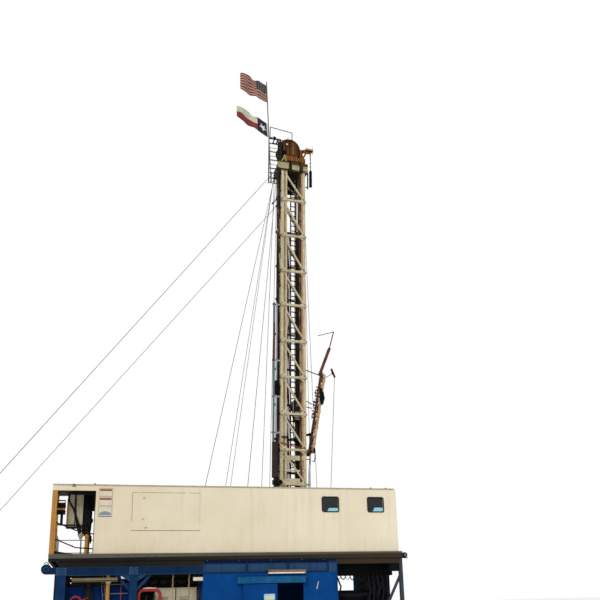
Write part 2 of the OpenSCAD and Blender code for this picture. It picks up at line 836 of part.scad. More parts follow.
module board_brackets() {
    color("#c8722a")
        leaning()
            for (y = [board_y0 - 8 - board_lug_t, board_y1 + 8])
                difference() {
                    box([mast_w / 2, y, board_z - 80], [board_x + 80, y + board_lug_t, board_z + 80]);
                    translate([board_x, y - 1, board_z]) rotate([-90, 0, 0])
                        cylinder(h = board_lug_t + 2, r = board_pin_r + shaft_gap, $fn = 48);
                }
}

module racking_board() {
    half = board_beam / 2;
    y = board_y1 - half;
    arm_top = [240, y, board_len + 1370];
    tip = [335, y, arm_top.z + 1000];
    color("#c8893a")
        leaning()
            translate([board_x, 0, board_z]) rotate([0, board_lean - mast_lean, 0]) {
                for (b = [[board_y0, board_near], [board_y1 - board_beam, board_len]])
                    translate([-half, b[0], -half]) cube([board_beam, board_beam, b[1]]);
                for (z = [250 : rung_pitch : board_near - 100])
                    translate([-40, board_y0 + 20, z]) cube([80, board_y1 - board_y0 - 40, 80]);
                bar([-80, y, board_len - 240], arm_top, 140);
                bar(arm_top - [10, 0, 50], tip, 50);
                bar(tip + [10, 0, -20], tip - [835, 0, 460], 30);
                bar([0, board_y0 + 20, board_near - 100], [0, board_y1 - 20, board_len - 200], 60);
                translate([0, board_pin[0], 0]) rotate([-90, 0, 0])
                    cylinder(h = board_pin[1] - board_pin[0], r = board_pin_r, $fn = 48);
            }
}

module travelling_block() {
    pin_z = block_top - block_r;
    color("#3b3a3c")
        translate([well_x, mid_y, 0]) {
            translate([0, 0, pin_z]) rotate([90, 0, 0]) {
                for (y = line_y) translate([0, 0, y - 35]) cylinder(h = 70, r = block_r, $fn = 32);
                translate([0, 0, -250]) cylinder(h = 500, r = 60, $fn = 32);
            }
            for (y = [-235, -97, 67, 205])
                box([-180, y, pin_z - block_r - 250], [180, y + 30, pin_z + 60]);
            box([-150, -240, pin_z - block_r - 500], [150, 240, pin_z - block_r - 200]);
            translate([0, 0, pin_z - block_r - 1500]) cylinder(h = 1050, r = 90, $fn = 24);
        }
}

module drilling_lines() {
    low = block_r + line_gap;
    high = sheave_r + line_gap;
    color("#55524e")
        for (y = line_y, s = [-1, 1])
            if (y < line_y[2] || s > 0)
                rod([well_x + s * low, mid_y + y, block_top - block_r],
                    [well_x + s * high, mid_y + y, shaft_z], line_d / 2, 6);
}

module fast_line() {
    color("#55524e")
        leaning()
            rod([-sheave_r - line_gap, mid_y + line_y[2], drum_z],
                [-sheave_r - line_gap, mid_y + line_y[2], shaft_z], line_d / 2, 6);
}

module line_drum() {
    y0 = mast_y0 + leg_w + 10;
    y1 = mast_y1 - leg_w - 10;
    color("#4b4f55") {
        translate([drum_x, y0 + 5, drum_z]) rotate([-90, 0, 0])
            cylinder(h = y1 - y0 - 10, r = drum_r, $fn = 32);
        for (y = [y0, y1 - 30])
            box([drum_x - 160, y, deck_z + base_h], [drum_x + 100, y + 30, drum_z + 80]);
    }
}

module standpipe() {
    color("#6b2a26")
        leaning() {
            translate([pipe_x, mast_y0 + 60, pipe_z0]) cylinder(h = pipe_z1 - pipe_z0, r = 60, $fn = 12);
            translate([pipe_x + pipe_gap, mast_y0 + 60, pipe_z0 + 400])
                cylinder(h = pipe_z1 - pipe_z0 - 400, r = 45, $fn = 12);
            for (z = clamp_z)
                box([pipe_x - 90, mast_y0 + 60, z], [-mast_w / 2, mast_y0 + 100, z + 80]);
        }
}

module flow_vessel() {
    color("#3c2820")
        difference() {
            leaning() {
                translate([vessel_x, mast_y0 + 60, 7230]) cylinder(h = pipe_z0 - 7230, r = 155, $fn = 24);
                translate([vessel_x, mast_y0 + 60, deck_z]) cylinder(h = 4000, r = 70, $fn = 24);
                for (z = [6900, 7040])
                    translate([vessel_x, mast_y0 + 60, z]) cylinder(h = 50, r = 140, $fn = 24);
                for (z = [7500, 8500])
                    box([vessel_x, mast_y0 + 60, z], [-mast_w / 2, mast_y0 + 100, z + 80]);
            }
            below_base();
        }
}

module guy_lines() {
    color("#3a3d42") {
        for (k = [0, 1]) {
            top = on_mast([guy_top[k].x - 40, guy_top[k].y, guy_top[k].z]);
            rod(top, guy_foot[k] + [0, 0, 30], guy_d / 2, 6);
            translate(guy_foot[k]) cylinder(h = 60, r = 40, $fn = 12);
            leaning()
                box(guy_top[k] - [80, 30, 60], guy_top[k] + [0, 30, 60]);
        }
    }
}

module load_guys() {
    color("#3a3d42")
        for (g = load_ends) {
            top = on_mast(g[0]);
            side = g[0].x < 0 ? 1 : -1;
            rod(top - [side * 30, 0, 0], g[1] + [0, 0, 20], guy_d / 2, 6);
            translate(g[1]) cylinder(h = 40, r = 40, $fn = 12);
            leaning()
                box(g[0] - [side > 0 ? 60 : 0, 25, 40], g[0] + [side > 0 ? 0 : 60, 25, 40]);
        }
}

module guy_anchors() {
    color("#6b6f74")
        for (p = guy_foot) {
            translate([p.x, p.y, 0]) cylinder(h = p.z, r = 60, $fn = 12);
            translate([p.x, p.y, 0]) cylinder(h = 20, r = 200, $fn = 24);
        }
}

skid_base();
front_posts();
rear_posts();
deck_girders();
deck_joists();
deck_edge();
deck_plate();
cabin_floor();
cabin_front_left();
cabin_front_right();
cabin_lintel();
cabin_walls();
cabin_roof();
cabin_fascia();
sliding_door();
door_track();
door_light();
house_front_wall();
house_bay_wall();
house_right_wall();
house_back_wall();
house_roof();
bay_posts();
bay_header();
window_frames();
window_panes();
wall_hatch();
deck_rails();
bay_equipment();
mast_base();
mast_near_lower();
mast_near_upper();
mast_far_lower();
mast_far_upper();
mast_left_side();
crown_beams();
crown_guard();
crown_sheaves();
crown_platform();
crown_ladder();
hanging_weight();
flag_pole();
upper_flag();
lower_flag();
board_brackets();
racking_board();
travelling_block();
drilling_lines();
fast_line();
line_drum();
standpipe();
flow_vessel();
guy_lines();
guy_anchors();
load_guys();
under_deck_tank();
under_deck_boxes();
under_deck_pipes();
rope_left();
rope_right();
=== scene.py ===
import math
import random

import bpy
import bmesh
from mathutils import Matrix, Vector

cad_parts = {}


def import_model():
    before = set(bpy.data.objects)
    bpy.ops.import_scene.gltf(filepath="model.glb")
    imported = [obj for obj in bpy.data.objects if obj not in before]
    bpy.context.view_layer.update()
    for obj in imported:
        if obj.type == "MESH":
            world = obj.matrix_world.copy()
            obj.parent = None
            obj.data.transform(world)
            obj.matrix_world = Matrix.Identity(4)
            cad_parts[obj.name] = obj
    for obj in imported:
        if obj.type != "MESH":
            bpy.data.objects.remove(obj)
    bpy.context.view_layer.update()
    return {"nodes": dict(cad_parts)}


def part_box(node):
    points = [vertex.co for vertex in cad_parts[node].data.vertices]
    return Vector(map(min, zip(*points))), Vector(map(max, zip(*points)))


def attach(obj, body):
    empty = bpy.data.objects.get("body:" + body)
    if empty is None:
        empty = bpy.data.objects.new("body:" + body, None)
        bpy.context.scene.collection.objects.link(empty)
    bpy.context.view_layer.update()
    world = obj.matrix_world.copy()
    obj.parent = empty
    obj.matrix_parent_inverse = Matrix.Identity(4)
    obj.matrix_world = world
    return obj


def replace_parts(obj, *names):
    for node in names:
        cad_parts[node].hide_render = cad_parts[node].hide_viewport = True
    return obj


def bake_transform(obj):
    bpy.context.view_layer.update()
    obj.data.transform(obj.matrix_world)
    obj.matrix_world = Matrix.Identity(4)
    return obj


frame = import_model()
X, Y, Z = Matrix.Identity(3)

# Camera at the photograph's viewing angle
CAM_AT = Vector((-5.6883, -34.2117, 1.7517))
YAW, PITCH, ROLL = 0.2793, 0.2807, -0.024
PHOTO, FOCAL, RAISED = 600, 760, 75  # the picture's width, focal length and upward shift in pixels
forward = Vector((math.sin(YAW) * math.cos(PITCH), math.cos(YAW) * math.cos(PITCH), math.sin(PITCH)))
level = Vector((math.cos(YAW), -math.sin(YAW), 0))
steep = level.cross(forward)
right = level * math.cos(ROLL) + steep * math.sin(ROLL)
up = steep * math.cos(ROLL) - level * math.sin(ROLL)
cam = bpy.data.objects.new("Camera", bpy.data.cameras.new("Camera"))
cam.data.sensor_width = 36
cam.data.lens = FOCAL * cam.data.sensor_width / PHOTO
cam.data.shift_y = RAISED / PHOTO
cam.data.clip_end = 400
cam.matrix_world = Matrix.Translation(CAM_AT) @ Matrix((right, up, -forward)).transposed().to_4x4()
bpy.context.scene.collection.objects.link(cam)
bpy.context.scene.camera = cam
bpy.context.scene.view_settings.view_transform = "Standard"


def srgb(r, g, b):
    """Linear colour from 0-255 values."""
    shares = (v / 255 for v in (r, g, b))
    return (*(v / 12.92 if v <= 0.04045 else ((v + 0.055) / 1.055) ** 2.4 for v in shares), 1)


def node(tree, kind, inputs=(), **settings):
    """New shader node; inputs gives a value or a socket for some of its inputs."""
    made = tree.nodes.new("ShaderNode" + kind)
    for key, value in settings.items():
        setattr(made, key, value)
    for key, value in dict(inputs).items():
        if isinstance(value, bpy.types.NodeSocket):
            tree.links.new(value, made.inputs[key])
        else:
            made.inputs[key].default_value = value
    return made


# White surroundings that light the rig a little less than they show
sky = bpy.data.worlds.new("World")
bpy.context.scene.world = sky
sky.use_nodes = True
tree = sky.node_tree
tree.nodes.clear()
dim = node(tree, "Background", {"Color": (0.93, 0.97, 1, 1), "Strength": 0.55})
plain = node(tree, "Background", {"Color": (1, 1, 1, 1), "Strength": 1})
path = node(tree, "LightPath").outputs
seen = node(tree, "Math", {0: path["Is Camera Ray"], 1: path["Is Glossy Ray"]}, operation="MAXIMUM")
seen = node(tree, "Math", {0: seen.outputs[0], 1: path["Is Transmission Ray"]}, operation="MAXIMUM")
mix = node(tree, "MixShader", {"Fac": seen.outputs[0], 1: dim.outputs[0], 2: plain.outputs[0]})
node(tree, "OutputWorld", {"Surface": mix.outputs[0]})

for name, aim, strength, spread in (
    ("key", (0.55, 0.75, -0.75), 2.0, 25), ("fill", (-0.8, 0.25, -0.45), 0.5, 50),
    ("back", (-0.2, -0.9, -0.6), 0.5, 50),
):
    lamp = bpy.data.lights.new(name, "SUN")
    lamp.energy = strength
    lamp.angle = math.radians(spread)
    sun = bpy.data.objects.new(name, lamp)
    sun.rotation_euler = Vector(aim).to_track_quat("-Z", "Y").to_euler()
    bpy.context.scene.collection.objects.link(sun)

floor_mesh = bpy.data.meshes.new("floor")
floor_mesh.from_pydata([(-90, -90, 0), (90, -90, 0), (90, 90, 0), (-90, 90, 0)], [], [(0, 1, 2, 3)])
floor = bpy.data.objects.new("floor", floor_mesh)
bpy.context.scene.collection.objects.link(floor)
floor_mat = bpy.data.materials.new("floor")
floor_mat.use_nodes = True
for key, value in (("Base Color", srgb(226, 226, 224)), ("Roughness", 0.9)):
    floor_mat.node_tree.nodes["Principled BSDF"].inputs[key].default_value = value
floor_mesh.materials.append(floor_mat)


# Materials
class Coat:
    """A painted or bare surface built up in layers of procedural texture."""

    def __init__(self, name, base, rough=0.55, metal=0.0, gloss=0.02):
        self.mat = bpy.data.materials.new(name)
        self.mat.use_nodes = True
        self.bsdf = self.mat.node_tree.nodes["Principled BSDF"]
        self.at = self.node("TexCoord").outputs["Object"]
        self.colour = self.node("RGB").outputs[0]
        self.colour.default_value = srgb(*base)
        self.height = None
        for key, value in (("Metallic", metal), ("Roughness", rough), ("Specular IOR Level", gloss)):
            self.bsdf.inputs[key].default_value = value

    def node(self, kind, inputs=(), **settings):
        return node(self.mat.node_tree, kind, inputs, **settings)

    def noise(self, scale, stretch=(1, 1, 1), detail=5, rough=0.6, shift=0.0):
        place = (shift, shift * 0.7, shift * 1.3)
        spot = self.node("Mapping", {"Vector": self.at, "Scale": stretch, "Location": place})
        return self.node("TexNoise", {
            "Vector": spot.outputs[0], "Scale": scale, "Detail": detail, "Roughness": rough,
        }).outputs["Fac"]

    def window(self, value, low, high, top=1.0):
        """0 below low, top above high."""
        return self.node("MapRange", {"Value": value, "From Min": low, "From Max": high, "To Max": top}).outputs[0]

    def math(self, op, a, b=0):
        return self.node("Math", {0: a, 1: b}, operation=op).outputs[0]

    def mul(self, a, b):
        return self.math("MULTIPLY", a, b)

    def sub(self, a, b):
        return self.math("SUBTRACT", a, b)

    def less(self, a, b):
        return self.math("LESS_THAN", a, b)

    def more(self, a, b):
        return self.math("GREATER_THAN", a, b)

    def size(self, a):
        return self.math("ABSOLUTE", a)

    def axis(self, k):
        return self.node("SeparateXYZ", {0: self.at}).outputs[k]

    def across(self, x, z):
        """Distance to the right of the leaning mast's middle."""
        return self.sub(self.sub(x, MAST_X), self.mul(z, math.sin(LEAN)))

    def underside(self):
        """Mask of the faces that look down."""
        normal = self.node("NewGeometry").outputs["Normal"]
        return self.window(self.node("SeparateXYZ", {0: normal}).outputs[2], -0.4, -0.7)

    def layer(self, mask, colour):
        self.colour = self.node("Mix", {0: mask, 6: self.colour, 7: srgb(*colour)}, data_type="RGBA").outputs[2]
        return self

    def mottle(self, colour, scale=1.2, amount=0.5, shift=0.0):
        return self.layer(self.window(self.noise(scale, (1, 1, 1), 6, 0.62, shift), 0.38, 0.68, amount), colour)

    def streaks(self, colour, scale=2.2, amount=0.5, shift=3.0, low=0.52, high=0.72):
        """Dirt that has run down the surface."""
        return self.layer(self.window(self.noise(scale, (3.2, 3.2, 0.22), 7, 0.65, shift), low, high, amount), colour)

    def spots(self, colour, scale=5.0, low=0.64, high=0.7, amount=0.9):
        """Rust or chips that break through."""
        return self.layer(self.window(self.noise(scale, (1, 1, 1), 9, 0.72, 9.0), low, high, amount), colour)

    def bumps(self, scale=30, depth=0.004, value=None):
        relief = {"Strength": 0.5, "Distance": depth, "Height": value or self.noise(scale, detail=4)}
        if self.height:
            relief["Normal"] = self.height
        self.height = self.node("Bump", relief).outputs["Normal"]
        return self

    def shine(self, low, high, scale=4.0):
        """Roughness that varies over the surface."""
        share = self.window(self.noise(scale, detail=5, shift=5.0), 0.3, 0.7)
        rough = self.node("MapRange", {"Value": share, "To Min": low, "To Max": high}).outputs[0]
        self.mat.node_tree.links.new(rough, self.bsdf.inputs["Roughness"])
        return self

    def done(self):
        self.mat.node_tree.links.new(self.colour, self.bsdf.inputs["Base Color"])
        if self.height:
            self.mat.node_tree.links.new(self.height, self.bsdf.inputs["Normal"])
        return self.mat


RUST = (104, 58, 32)


def painted(name, base, worn, dirt, rust=RUST, spots=0.66, scale=1.0, dirty=0.45):
    """Weathered gloss paint on steel."""
    c = Coat(name, base).mottle(worn, 0.9 * scale, 0.55).streaks(dirt, 1.8 * scale, dirty)
    c.mottle(dirt, 6 * scale, 0.22, shift=4.0).spots(rust, 4.5 * scale, spots, spots + 0.05)
    return c.shine(0.45, 0.7, 3 * scale).bumps(26 * scale, 0.003).done()


def steel(name, base, worn, rust=(84, 50, 34), spots=0.62, metal=0.1):
    c = Coat(name, base, metal=metal).mottle(worn, 3, 0.7).spots(rust, 6, spots, spots + 0.08, 0.8)
    return c.shine(0.4, 0.75, 6).bumps(60, 0.002).done()


def wall_paint():
    c = Coat("wall_paint", (211, 197, 171))
    c.layer(c.window(c.axis(0), -5.5, 6.5), (228, 217, 192))
    c.mottle((208, 193, 164), 0.35, 0.5).mottle((226, 214, 189), 1.1, 0.4, 6.0)
    c.streaks((178, 160, 130), 1.1, 0.22).streaks((150, 130, 100), 3.6, 0.16, 12.0, 0.6, 0.75)
    foot = c.window(c.axis(2), 4.0, 3.35, 0.3)
    c.layer(c.mul(foot, c.noise(2.5, (3, 3, 0.5), 6)), (160, 140, 110))
    c.spots((128, 84, 52), 7.0, 0.73, 0.77, 0.6)
    # Painted shade on the faces that look down, such as the roof's underside
    c.layer(c.underside(), (58, 52, 46))
    return c.shine(0.38, 0.6, 1.5).bumps(1.3, 0.012).bumps(45, 0.0015).done()


def mast_paint():
    """Cream paint with rust; tan infill in the left corner, and dark brown painted shade on the inner right leg and the
    far legs inside the mast.
    """
    c = Coat("mast_paint", (204, 193, 162))
    c.mottle((176, 160, 126), 1.5, 0.6).streaks((96, 74, 52), 2.8, 0.5)
    c.mottle((120, 96, 70), 9, 0.35, 4.0).spots((98, 52, 30), 7.0, 0.59, 0.64)
    x, y = c.axis(0), c.axis(1)
    across = c.across(x, c.axis(2))
    infill = c.less(c.size(c.math("ADD", across, 0.482)), 0.052)
    c.layer(c.mul(infill, c.window(c.noise(4, (1, 1, 0.3), 6, shift=2.0), 0.3, 0.6, 0.8)), (138, 104, 70))
    inner = c.less(c.size(c.sub(across, 0.39)), 0.06)
    near = c.mul(c.more(y, 1.703), c.less(y, 1.85))
    far = c.mul(c.more(y, 2.3), c.more(c.size(across), 0.54))
    # Dark brown painted shade on the inner right leg of the near face and on the far legs
    painted_shade = c.math("MAXIMUM", c.mul(inner, near), far)
    c.layer(c.mul(painted_shade, c.window(c.noise(5, (1, 1, 0.3), 6), 0.2, 0.5)), (66, 46, 36))
    return c.shine(0.45, 0.7, 4.5).bumps(36, 0.003).done()


def deck_metal():
    """Raised pattern plate, dull with dirt, with painted shade on its underside."""
    c = Coat("deck_metal", (102, 98, 91), metal=0.1).mottle((84, 78, 70), 1.4, 0.8)
    # Painted shade, near black, on the faces that look down
    c.layer(c.underside(), (30, 27, 25)).spots((104, 70, 46), 3.2, 0.6, 0.72, 0.7)
    pattern = c.node("TexWave", {"Scale": 9, "Vector": c.at})
    return c.shine(0.5, 0.8).bumps(20, 0.006, pattern.outputs["Fac"]).done()


def wire_rope(name, base):
    """Twisted strands round a cable."""
    c = Coat(name, base, metal=0.15)
    lay = c.node("TexWave", {"Scale": 30, "Vector": c.at}, wave_type="BANDS", bands_direction="DIAGONAL").outputs["Fac"]
    c.layer(c.window(lay, 0.3, 0.9, 0.6), tuple(int(v * 0.55) for v in base))
    return c.mottle((96, 70, 52), 2.5, 0.5).shine(0.45, 0.7).bumps(30, 0.004, lay).done()


def two_tone(name, base, other, axis, low, high, worn, dirt, rust=RUST, spots=0.64):
    """Paint that changes colour along one axis, at low to high."""
    c = Coat(name, base)
    c.layer(c.window(c.axis(axis), low, high), other)
    c.mottle(worn, 2.5, 0.35).streaks(dirt, 3.0, 0.4).spots(rust, 6.0, spots, spots + 0.05)
    return c.shine(0.45, 0.7).bumps(30, 0.003).done()


def edge_paint():
    """Grey lip over a header that goes from near black at the left to dark brown at the right."""
    c = Coat("edge_paint", (26, 26, 25))
    along = c.window(c.axis(0), -4.0, 6.0)
    c.layer(along, (62, 49, 37)).mottle((38, 34, 30), 1.6, 0.4)
    lip = c.window(c.sub(c.axis(2), c.mul(c.axis(0), 0.006)), 3.228, 3.236)
    c.layer(lip, (88, 84, 78)).layer(c.mul(lip, along), (72, 64, 59))
    c.streaks((48, 43, 38), 3.0, 0.4).spots((84, 58, 42), 6.0, 0.64, 0.7, 0.5)
    return c.shine(0.5, 0.75).bumps(30, 0.003).done()


def pipe_paint():
    """Grey-blue riser that is maroon over one length, beside a paler one."""
    c = Coat("pipe_paint", (104, 112, 120))
    z = c.axis(2)
    c.layer(c.mul(c.more(z, 13.2), c.less(z, 15.3)), (88, 46, 48))
    c.layer(c.more(c.across(c.axis(0), z), -0.955), (166, 170, 172))
    c.mottle((86, 76, 80), 3.0, 0.4).streaks((60, 52, 56), 3.0, 0.4).spots((92, 54, 38), 7.0, 0.62, 0.67)
    return c.shine(0.45, 0.7).bumps(36, 0.003).done()


def cloth(name, base, bands):
    """Woven flag cloth; bands lays its other colours by UV."""
    c = Coat(name, base, rough=0.85)
    split = c.node("SeparateXYZ", {0: c.node("TexCoord").outputs["UV"]}).outputs
    bands(c, split[0], split[1])
    c.bsdf.inputs["Sheen Weight"].default_value = 0.3
    return c.mottle((60, 55, 58), 3.0, 0.25).bumps(160, 0.001).done()


# The mast leans to the right about its foot
LEAN = math.radians(1.19)
MAST_X = 4.006

white = wall_paint()
mast_coat = mast_paint()
cream = painted("cream_paint", (208, 196, 164), (190, 174, 136), (112, 94, 66), (112, 62, 34), 0.6, 1.6)
blue = painted("blue_paint", (9, 60, 120), (14, 72, 136), (8, 34, 70), (96, 58, 38), 0.7, 1.0, 0.3)
# Darker copy of the blue for the girders and other parts below the deck: painted shade, with some dirt
blue_shade_and_dirt = painted("blue_paint_shade_and_dirt", (16, 37, 64), (24, 50, 82), (10, 18, 32), (78, 50, 36), 0.66, 1.2)
blue_tank = painted("tank_paint", (10, 40, 92), (16, 54, 112), (8, 22, 48), (84, 52, 36), 0.68, 1.2)
blue_track = painted("track_paint", (22, 80, 124), (48, 104, 144), (14, 44, 76), (110, 76, 54), 0.7, 2.0)
# Fascia blue whose dark upper band is painted shadow along the top of each recess
recess_painted_shadow = two_tone("recess_paint_painted_shadow", (42, 68, 100), (18, 32, 62), 2, 2.90, 2.96, (30, 56, 92), (14, 22, 44),
                      (80, 50, 36), 0.7)
grey = painted("grey_paint", (104, 108, 108), (86, 88, 86), (56, 54, 50), (98, 60, 38), 0.63, 2.0)
# Near black joists: painted shade below the deck, with dirt
brown = painted("joist_paint", (42, 34, 29), (30, 26, 23), (20, 17, 15), (70, 42, 28), 0.6, 1.5)
ochre = painted("ochre_paint", (180, 132, 66), (160, 112, 52), (104, 72, 38), RUST, 0.66, 2.5)
ochre_dull = painted("ochre_dull", (158, 118, 64), (126, 92, 52), (70, 54, 36), (84, 50, 30), 0.6, 3.0)
orange = painted("orange_paint", (134, 77, 30), (108, 60, 26), (60, 38, 24), (66, 36, 24), 0.58, 3.0)
rail_grey = painted("rail_paint", (150, 152, 150), (128, 128, 124), (84, 78, 70), (104, 62, 38), 0.62, 3.0)
maroon = painted("maroon_paint", (92, 46, 42), (72, 38, 36), (42, 28, 26), (98, 54, 34), 0.62, 3.0)
hose_red = painted("hose_red", (154, 56, 54), (128, 44, 44), (72, 34, 34), (98, 54, 34), 0.7, 5.0)
dark = steel("dark_steel", (42, 37, 34), (27, 24, 23))
black = steel("black_steel", (20, 19, 21), (13, 12, 14), metal=0.0, spots=0.7)
bare = steel("bare_steel", (112, 108, 102), (86, 80, 74), metal=0.5)
vessel = steel("vessel_steel", (58, 46, 46), (42, 33, 34), (80, 52, 42), 0.64)
rope = wire_rope("wire_rope", (96, 92, 86))
rope_dark = wire_rope("wire_rope_dark", (66, 66, 68))
rope_fibre = wire_rope("fibre_rope", (186, 160, 118))
deck_mat = deck_metal()
glass = Coat("window_glass", (12, 15, 18), 0.12, 0, 0.35).mottle((24, 29, 33), 1.5, 0.7).streaks((70, 73, 70), 5.0, 0.2)
glass = glass.shine(0.05, 0.22, 3.0).done()
panel = painted("panel_paint", (184, 174, 148), (160, 148, 122), (94, 84, 70), (98, 58, 38), 0.66, 2.5)
rubber = Coat("rubber", (28, 28, 31), rough=0.7).mottle((42, 41, 42), 8, 0.5).bumps(80, 0.001).done()
post_mat = two_tone("post_paint", (16, 44, 78), (60, 62, 62), 0, 5.3, 5.32, (40, 70, 104), (12, 24, 42))
crown_mat = two_tone("crown_paint", (64, 56, 40), (140, 80, 34), 2, 24.79, 24.81, (84, 66, 42), (40, 30, 22))
hood_mat = two_tone("hood_paint", (96, 60, 32), (84, 54, 32), 2, 25.3, 25.9, (118, 68, 34), (40, 30, 24))
board_mat = two_tone("board_paint", (190, 156, 120), (78, 44, 36), 1, 2.2, 2.3, (150, 112, 80), (62, 42, 34))
edge_mat = edge_paint()
pipe_mat = pipe_paint()
lamp_glass = Coat("lamp_glass", (240, 236, 222), rough=0.3).mottle((222, 214, 192), 5, 0.6).shine(0.2, 0.4).done()
ochre_grey = painted("lamp_bar_paint", (124, 114, 88), (104, 96, 76), (66, 58, 46), (84, 56, 38), 0.66, 2.5)
tray_brown = painted("tray_paint", (62, 38, 30), (84, 50, 34), (34, 24, 20), (96, 54, 32), 0.56, 3.0)
leg_tan = painted("leg_tan", (186, 148, 112), (152, 112, 78), (96, 66, 46), (98, 52, 30), 0.58, 3.0)
plate_blue = painted("gusset_paint", (38, 66, 98), (30, 54, 86), (14, 30, 50), (84, 52, 36), 0.66, 2.0)
crown_cream = painted("crown_cream", (186, 172, 134), (136, 118, 80), (84, 70, 44), (92, 54, 30), 0.58, 3.0)
slat = painted("slat_paint", (108, 64, 34), (84, 52, 32), (48, 34, 26), (66, 40, 26), 0.56, 4.0)
olive = painted("olive_paint", (96, 82, 46), (80, 66, 38), (48, 40, 28), (84, 50, 30), 0.6, 3.0)
pale_blue = painted("pale_blue_paint", (150, 196, 208), (176, 212, 220), (110, 150, 168), (110, 90, 70), 0.74, 2.5)
# Pale blue pane colour: painted light of the bright sky seen in the windows
painted_sky_glass = Coat("louvre_glass_painted_sky", (140, 198, 214), rough=0.15).mottle((172, 216, 226), 4, 0.5).shine(0.05, 0.2).done()
light_mat = painted("light_paint", (132, 108, 86), (150, 124, 98), (88, 68, 52), (96, 60, 42), 0.68, 2.5)
# Painted shadow under the eave, darker than the wall
eave_painted_shadow = painted("eave_shadow_paint", (176, 165, 142), (158, 146, 122), (112, 98, 76), RUST, 0.7, 2)
red_band = painted("band_red", (152, 78, 70), (136, 68, 60), (96, 60, 54), RUST, 0.72, 3)
sign_cream = painted("plate_cream", (214, 204, 182), (196, 186, 164), (140, 130, 112), RUST, 0.72, 4)
sign_blue = painted("plate_blue", (140, 146, 158), (120, 128, 144), (84, 88, 96), RUST, 0.72, 4)

COATS = {
    blue_shade_and_dirt: "skid_base deck_girders rear_posts",
    blue_tank: "under_deck_tank",
    post_mat: "front_posts",
    brown: "deck_joists",
    edge_mat: "deck_edge",
    deck_mat: "deck_plate cabin_floor",
    blue: "cabin_front_left cabin_front_right cabin_lintel cabin_walls cabin_roof sliding_door",
    recess_painted_shadow: "cabin_fascia",
    blue_track: "door_track",
    light_mat: "door_light",
    white: "house_front_wall house_bay_wall house_right_wall house_back_wall house_roof bay_header wall_hatch",
    ochre: "bay_posts",
    rubber: "window_frames",
    glass: "window_panes",
    rail_grey: "deck_rails",
    panel: "bay_equipment under_deck_boxes",
    cream: "mast_base",
    mast_coat: "mast_near_lower mast_near_upper mast_far_lower mast_far_upper mast_left_side",
    crown_mat: "crown_beams",
    hood_mat: "crown_guard",
    orange: "board_brackets",
    dark: "crown_platform crown_ladder crown_sheaves travelling_block line_drum",
    black: "hanging_weight",
    grey: "guy_anchors flag_pole",
    board_mat: "racking_board",
    rope: "drilling_lines fast_line",
    rope_dark: "guy_lines load_guys",
    rope_fibre: "rope_left rope_right",
    pipe_mat: "standpipe",
    hose_red: "under_deck_pipes",
    vessel: "flow_vessel",
}
for coat, names in COATS.items():
    for name in names.split():
        for material_slot in frame["nodes"][name].material_slots:
            material_slot.material = coat


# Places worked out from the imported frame
def low(node_name):
    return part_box(node_name)[0]


def high(node_name):
    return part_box(node_name)[1]


FRONT = low("house_front_wall").y
DEPTH = high("house_back_wall").y - FRONT
DECK0, DECK1 = low("deck_plate"), high("deck_plate")
DECK, ROOF, SKID = DECK1.z, high("house_roof").z, high("skid_base").z
LEFT, RIGHT = low("house_roof").x, high("house_roof").x
BAY = low("house_front_wall").x
GIRDER, EDGE = low("cabin_fascia").z, high("cabin_fascia").z
CAB0, CAB1 = low("cabin_roof").x, high("cabin_roof").x
MAST_FOOT = DECK + 0.19
MAST_TOP = 24.3


def world(x, y, z):
    return Vector((x, y, z))


def front(x, y, z):
    """World position of a point whose y counts from the house's front plane."""
    return Vector((x, FRONT + y, z))


def mast(x, y, z):
    """World position of a point in the mast's own frame."""
    return Vector((MAST_X + x * math.cos(LEAN) + z * math.sin(LEAN), y, z * math.cos(LEAN) - x * math.sin(LEAN)))


def mid(centre, half):
    """Lower and upper limit about a centre."""
    return centre - half, centre + half


def upright(y, *points):
    """Points of one upright plane."""
    return [(x, y, z) for x, z in points]


def barrel(z0, z1, chamfer, end, r):
    """Profile of radius r that narrows to end over a chamfer at both ends."""
    return [(z0, end), (z0 + chamfer, r), (z1 - chamfer, r), (z1, end)]


# Building pieces in mesh code
def ring(at, s, t, r, n):
    """Circle of n points round at, in the plane of s and t."""
    return [at + (s * math.cos(a) + t * math.sin(a)) * r for a in (2 * math.pi * j / n for j in range(n))]


def skin(rings, n):
    """Faces over rings of n points each, closed at both ends."""
    faces = [
        (k * n + j, k * n + (j + 1) % n, (k + 1) * n + (j + 1) % n, (k + 1) * n + j)
        for k in range(rings - 1) for j in range(n)
    ]
    return faces + [tuple(range(n))[::-1], tuple((rings - 1) * n + j for j in range(n))]


def sag(a, b, drop, n=12):
    """Points of a hanging line from a to b."""
    a, b = Vector(a), Vector(b)
    return [a.lerp(b, k / n) - Z * drop * 4 * (k / n) * (1 - k / n) for k in range(n + 1)]


def arc(centre, r, a0, a1, n, u=X, v=Z):
    turns = (math.radians(a0 + (a1 - a0) * k / n) for k in range(n + 1))
    return [Vector(centre) + u * r * math.cos(a) + v * r * math.sin(a) for a in turns]


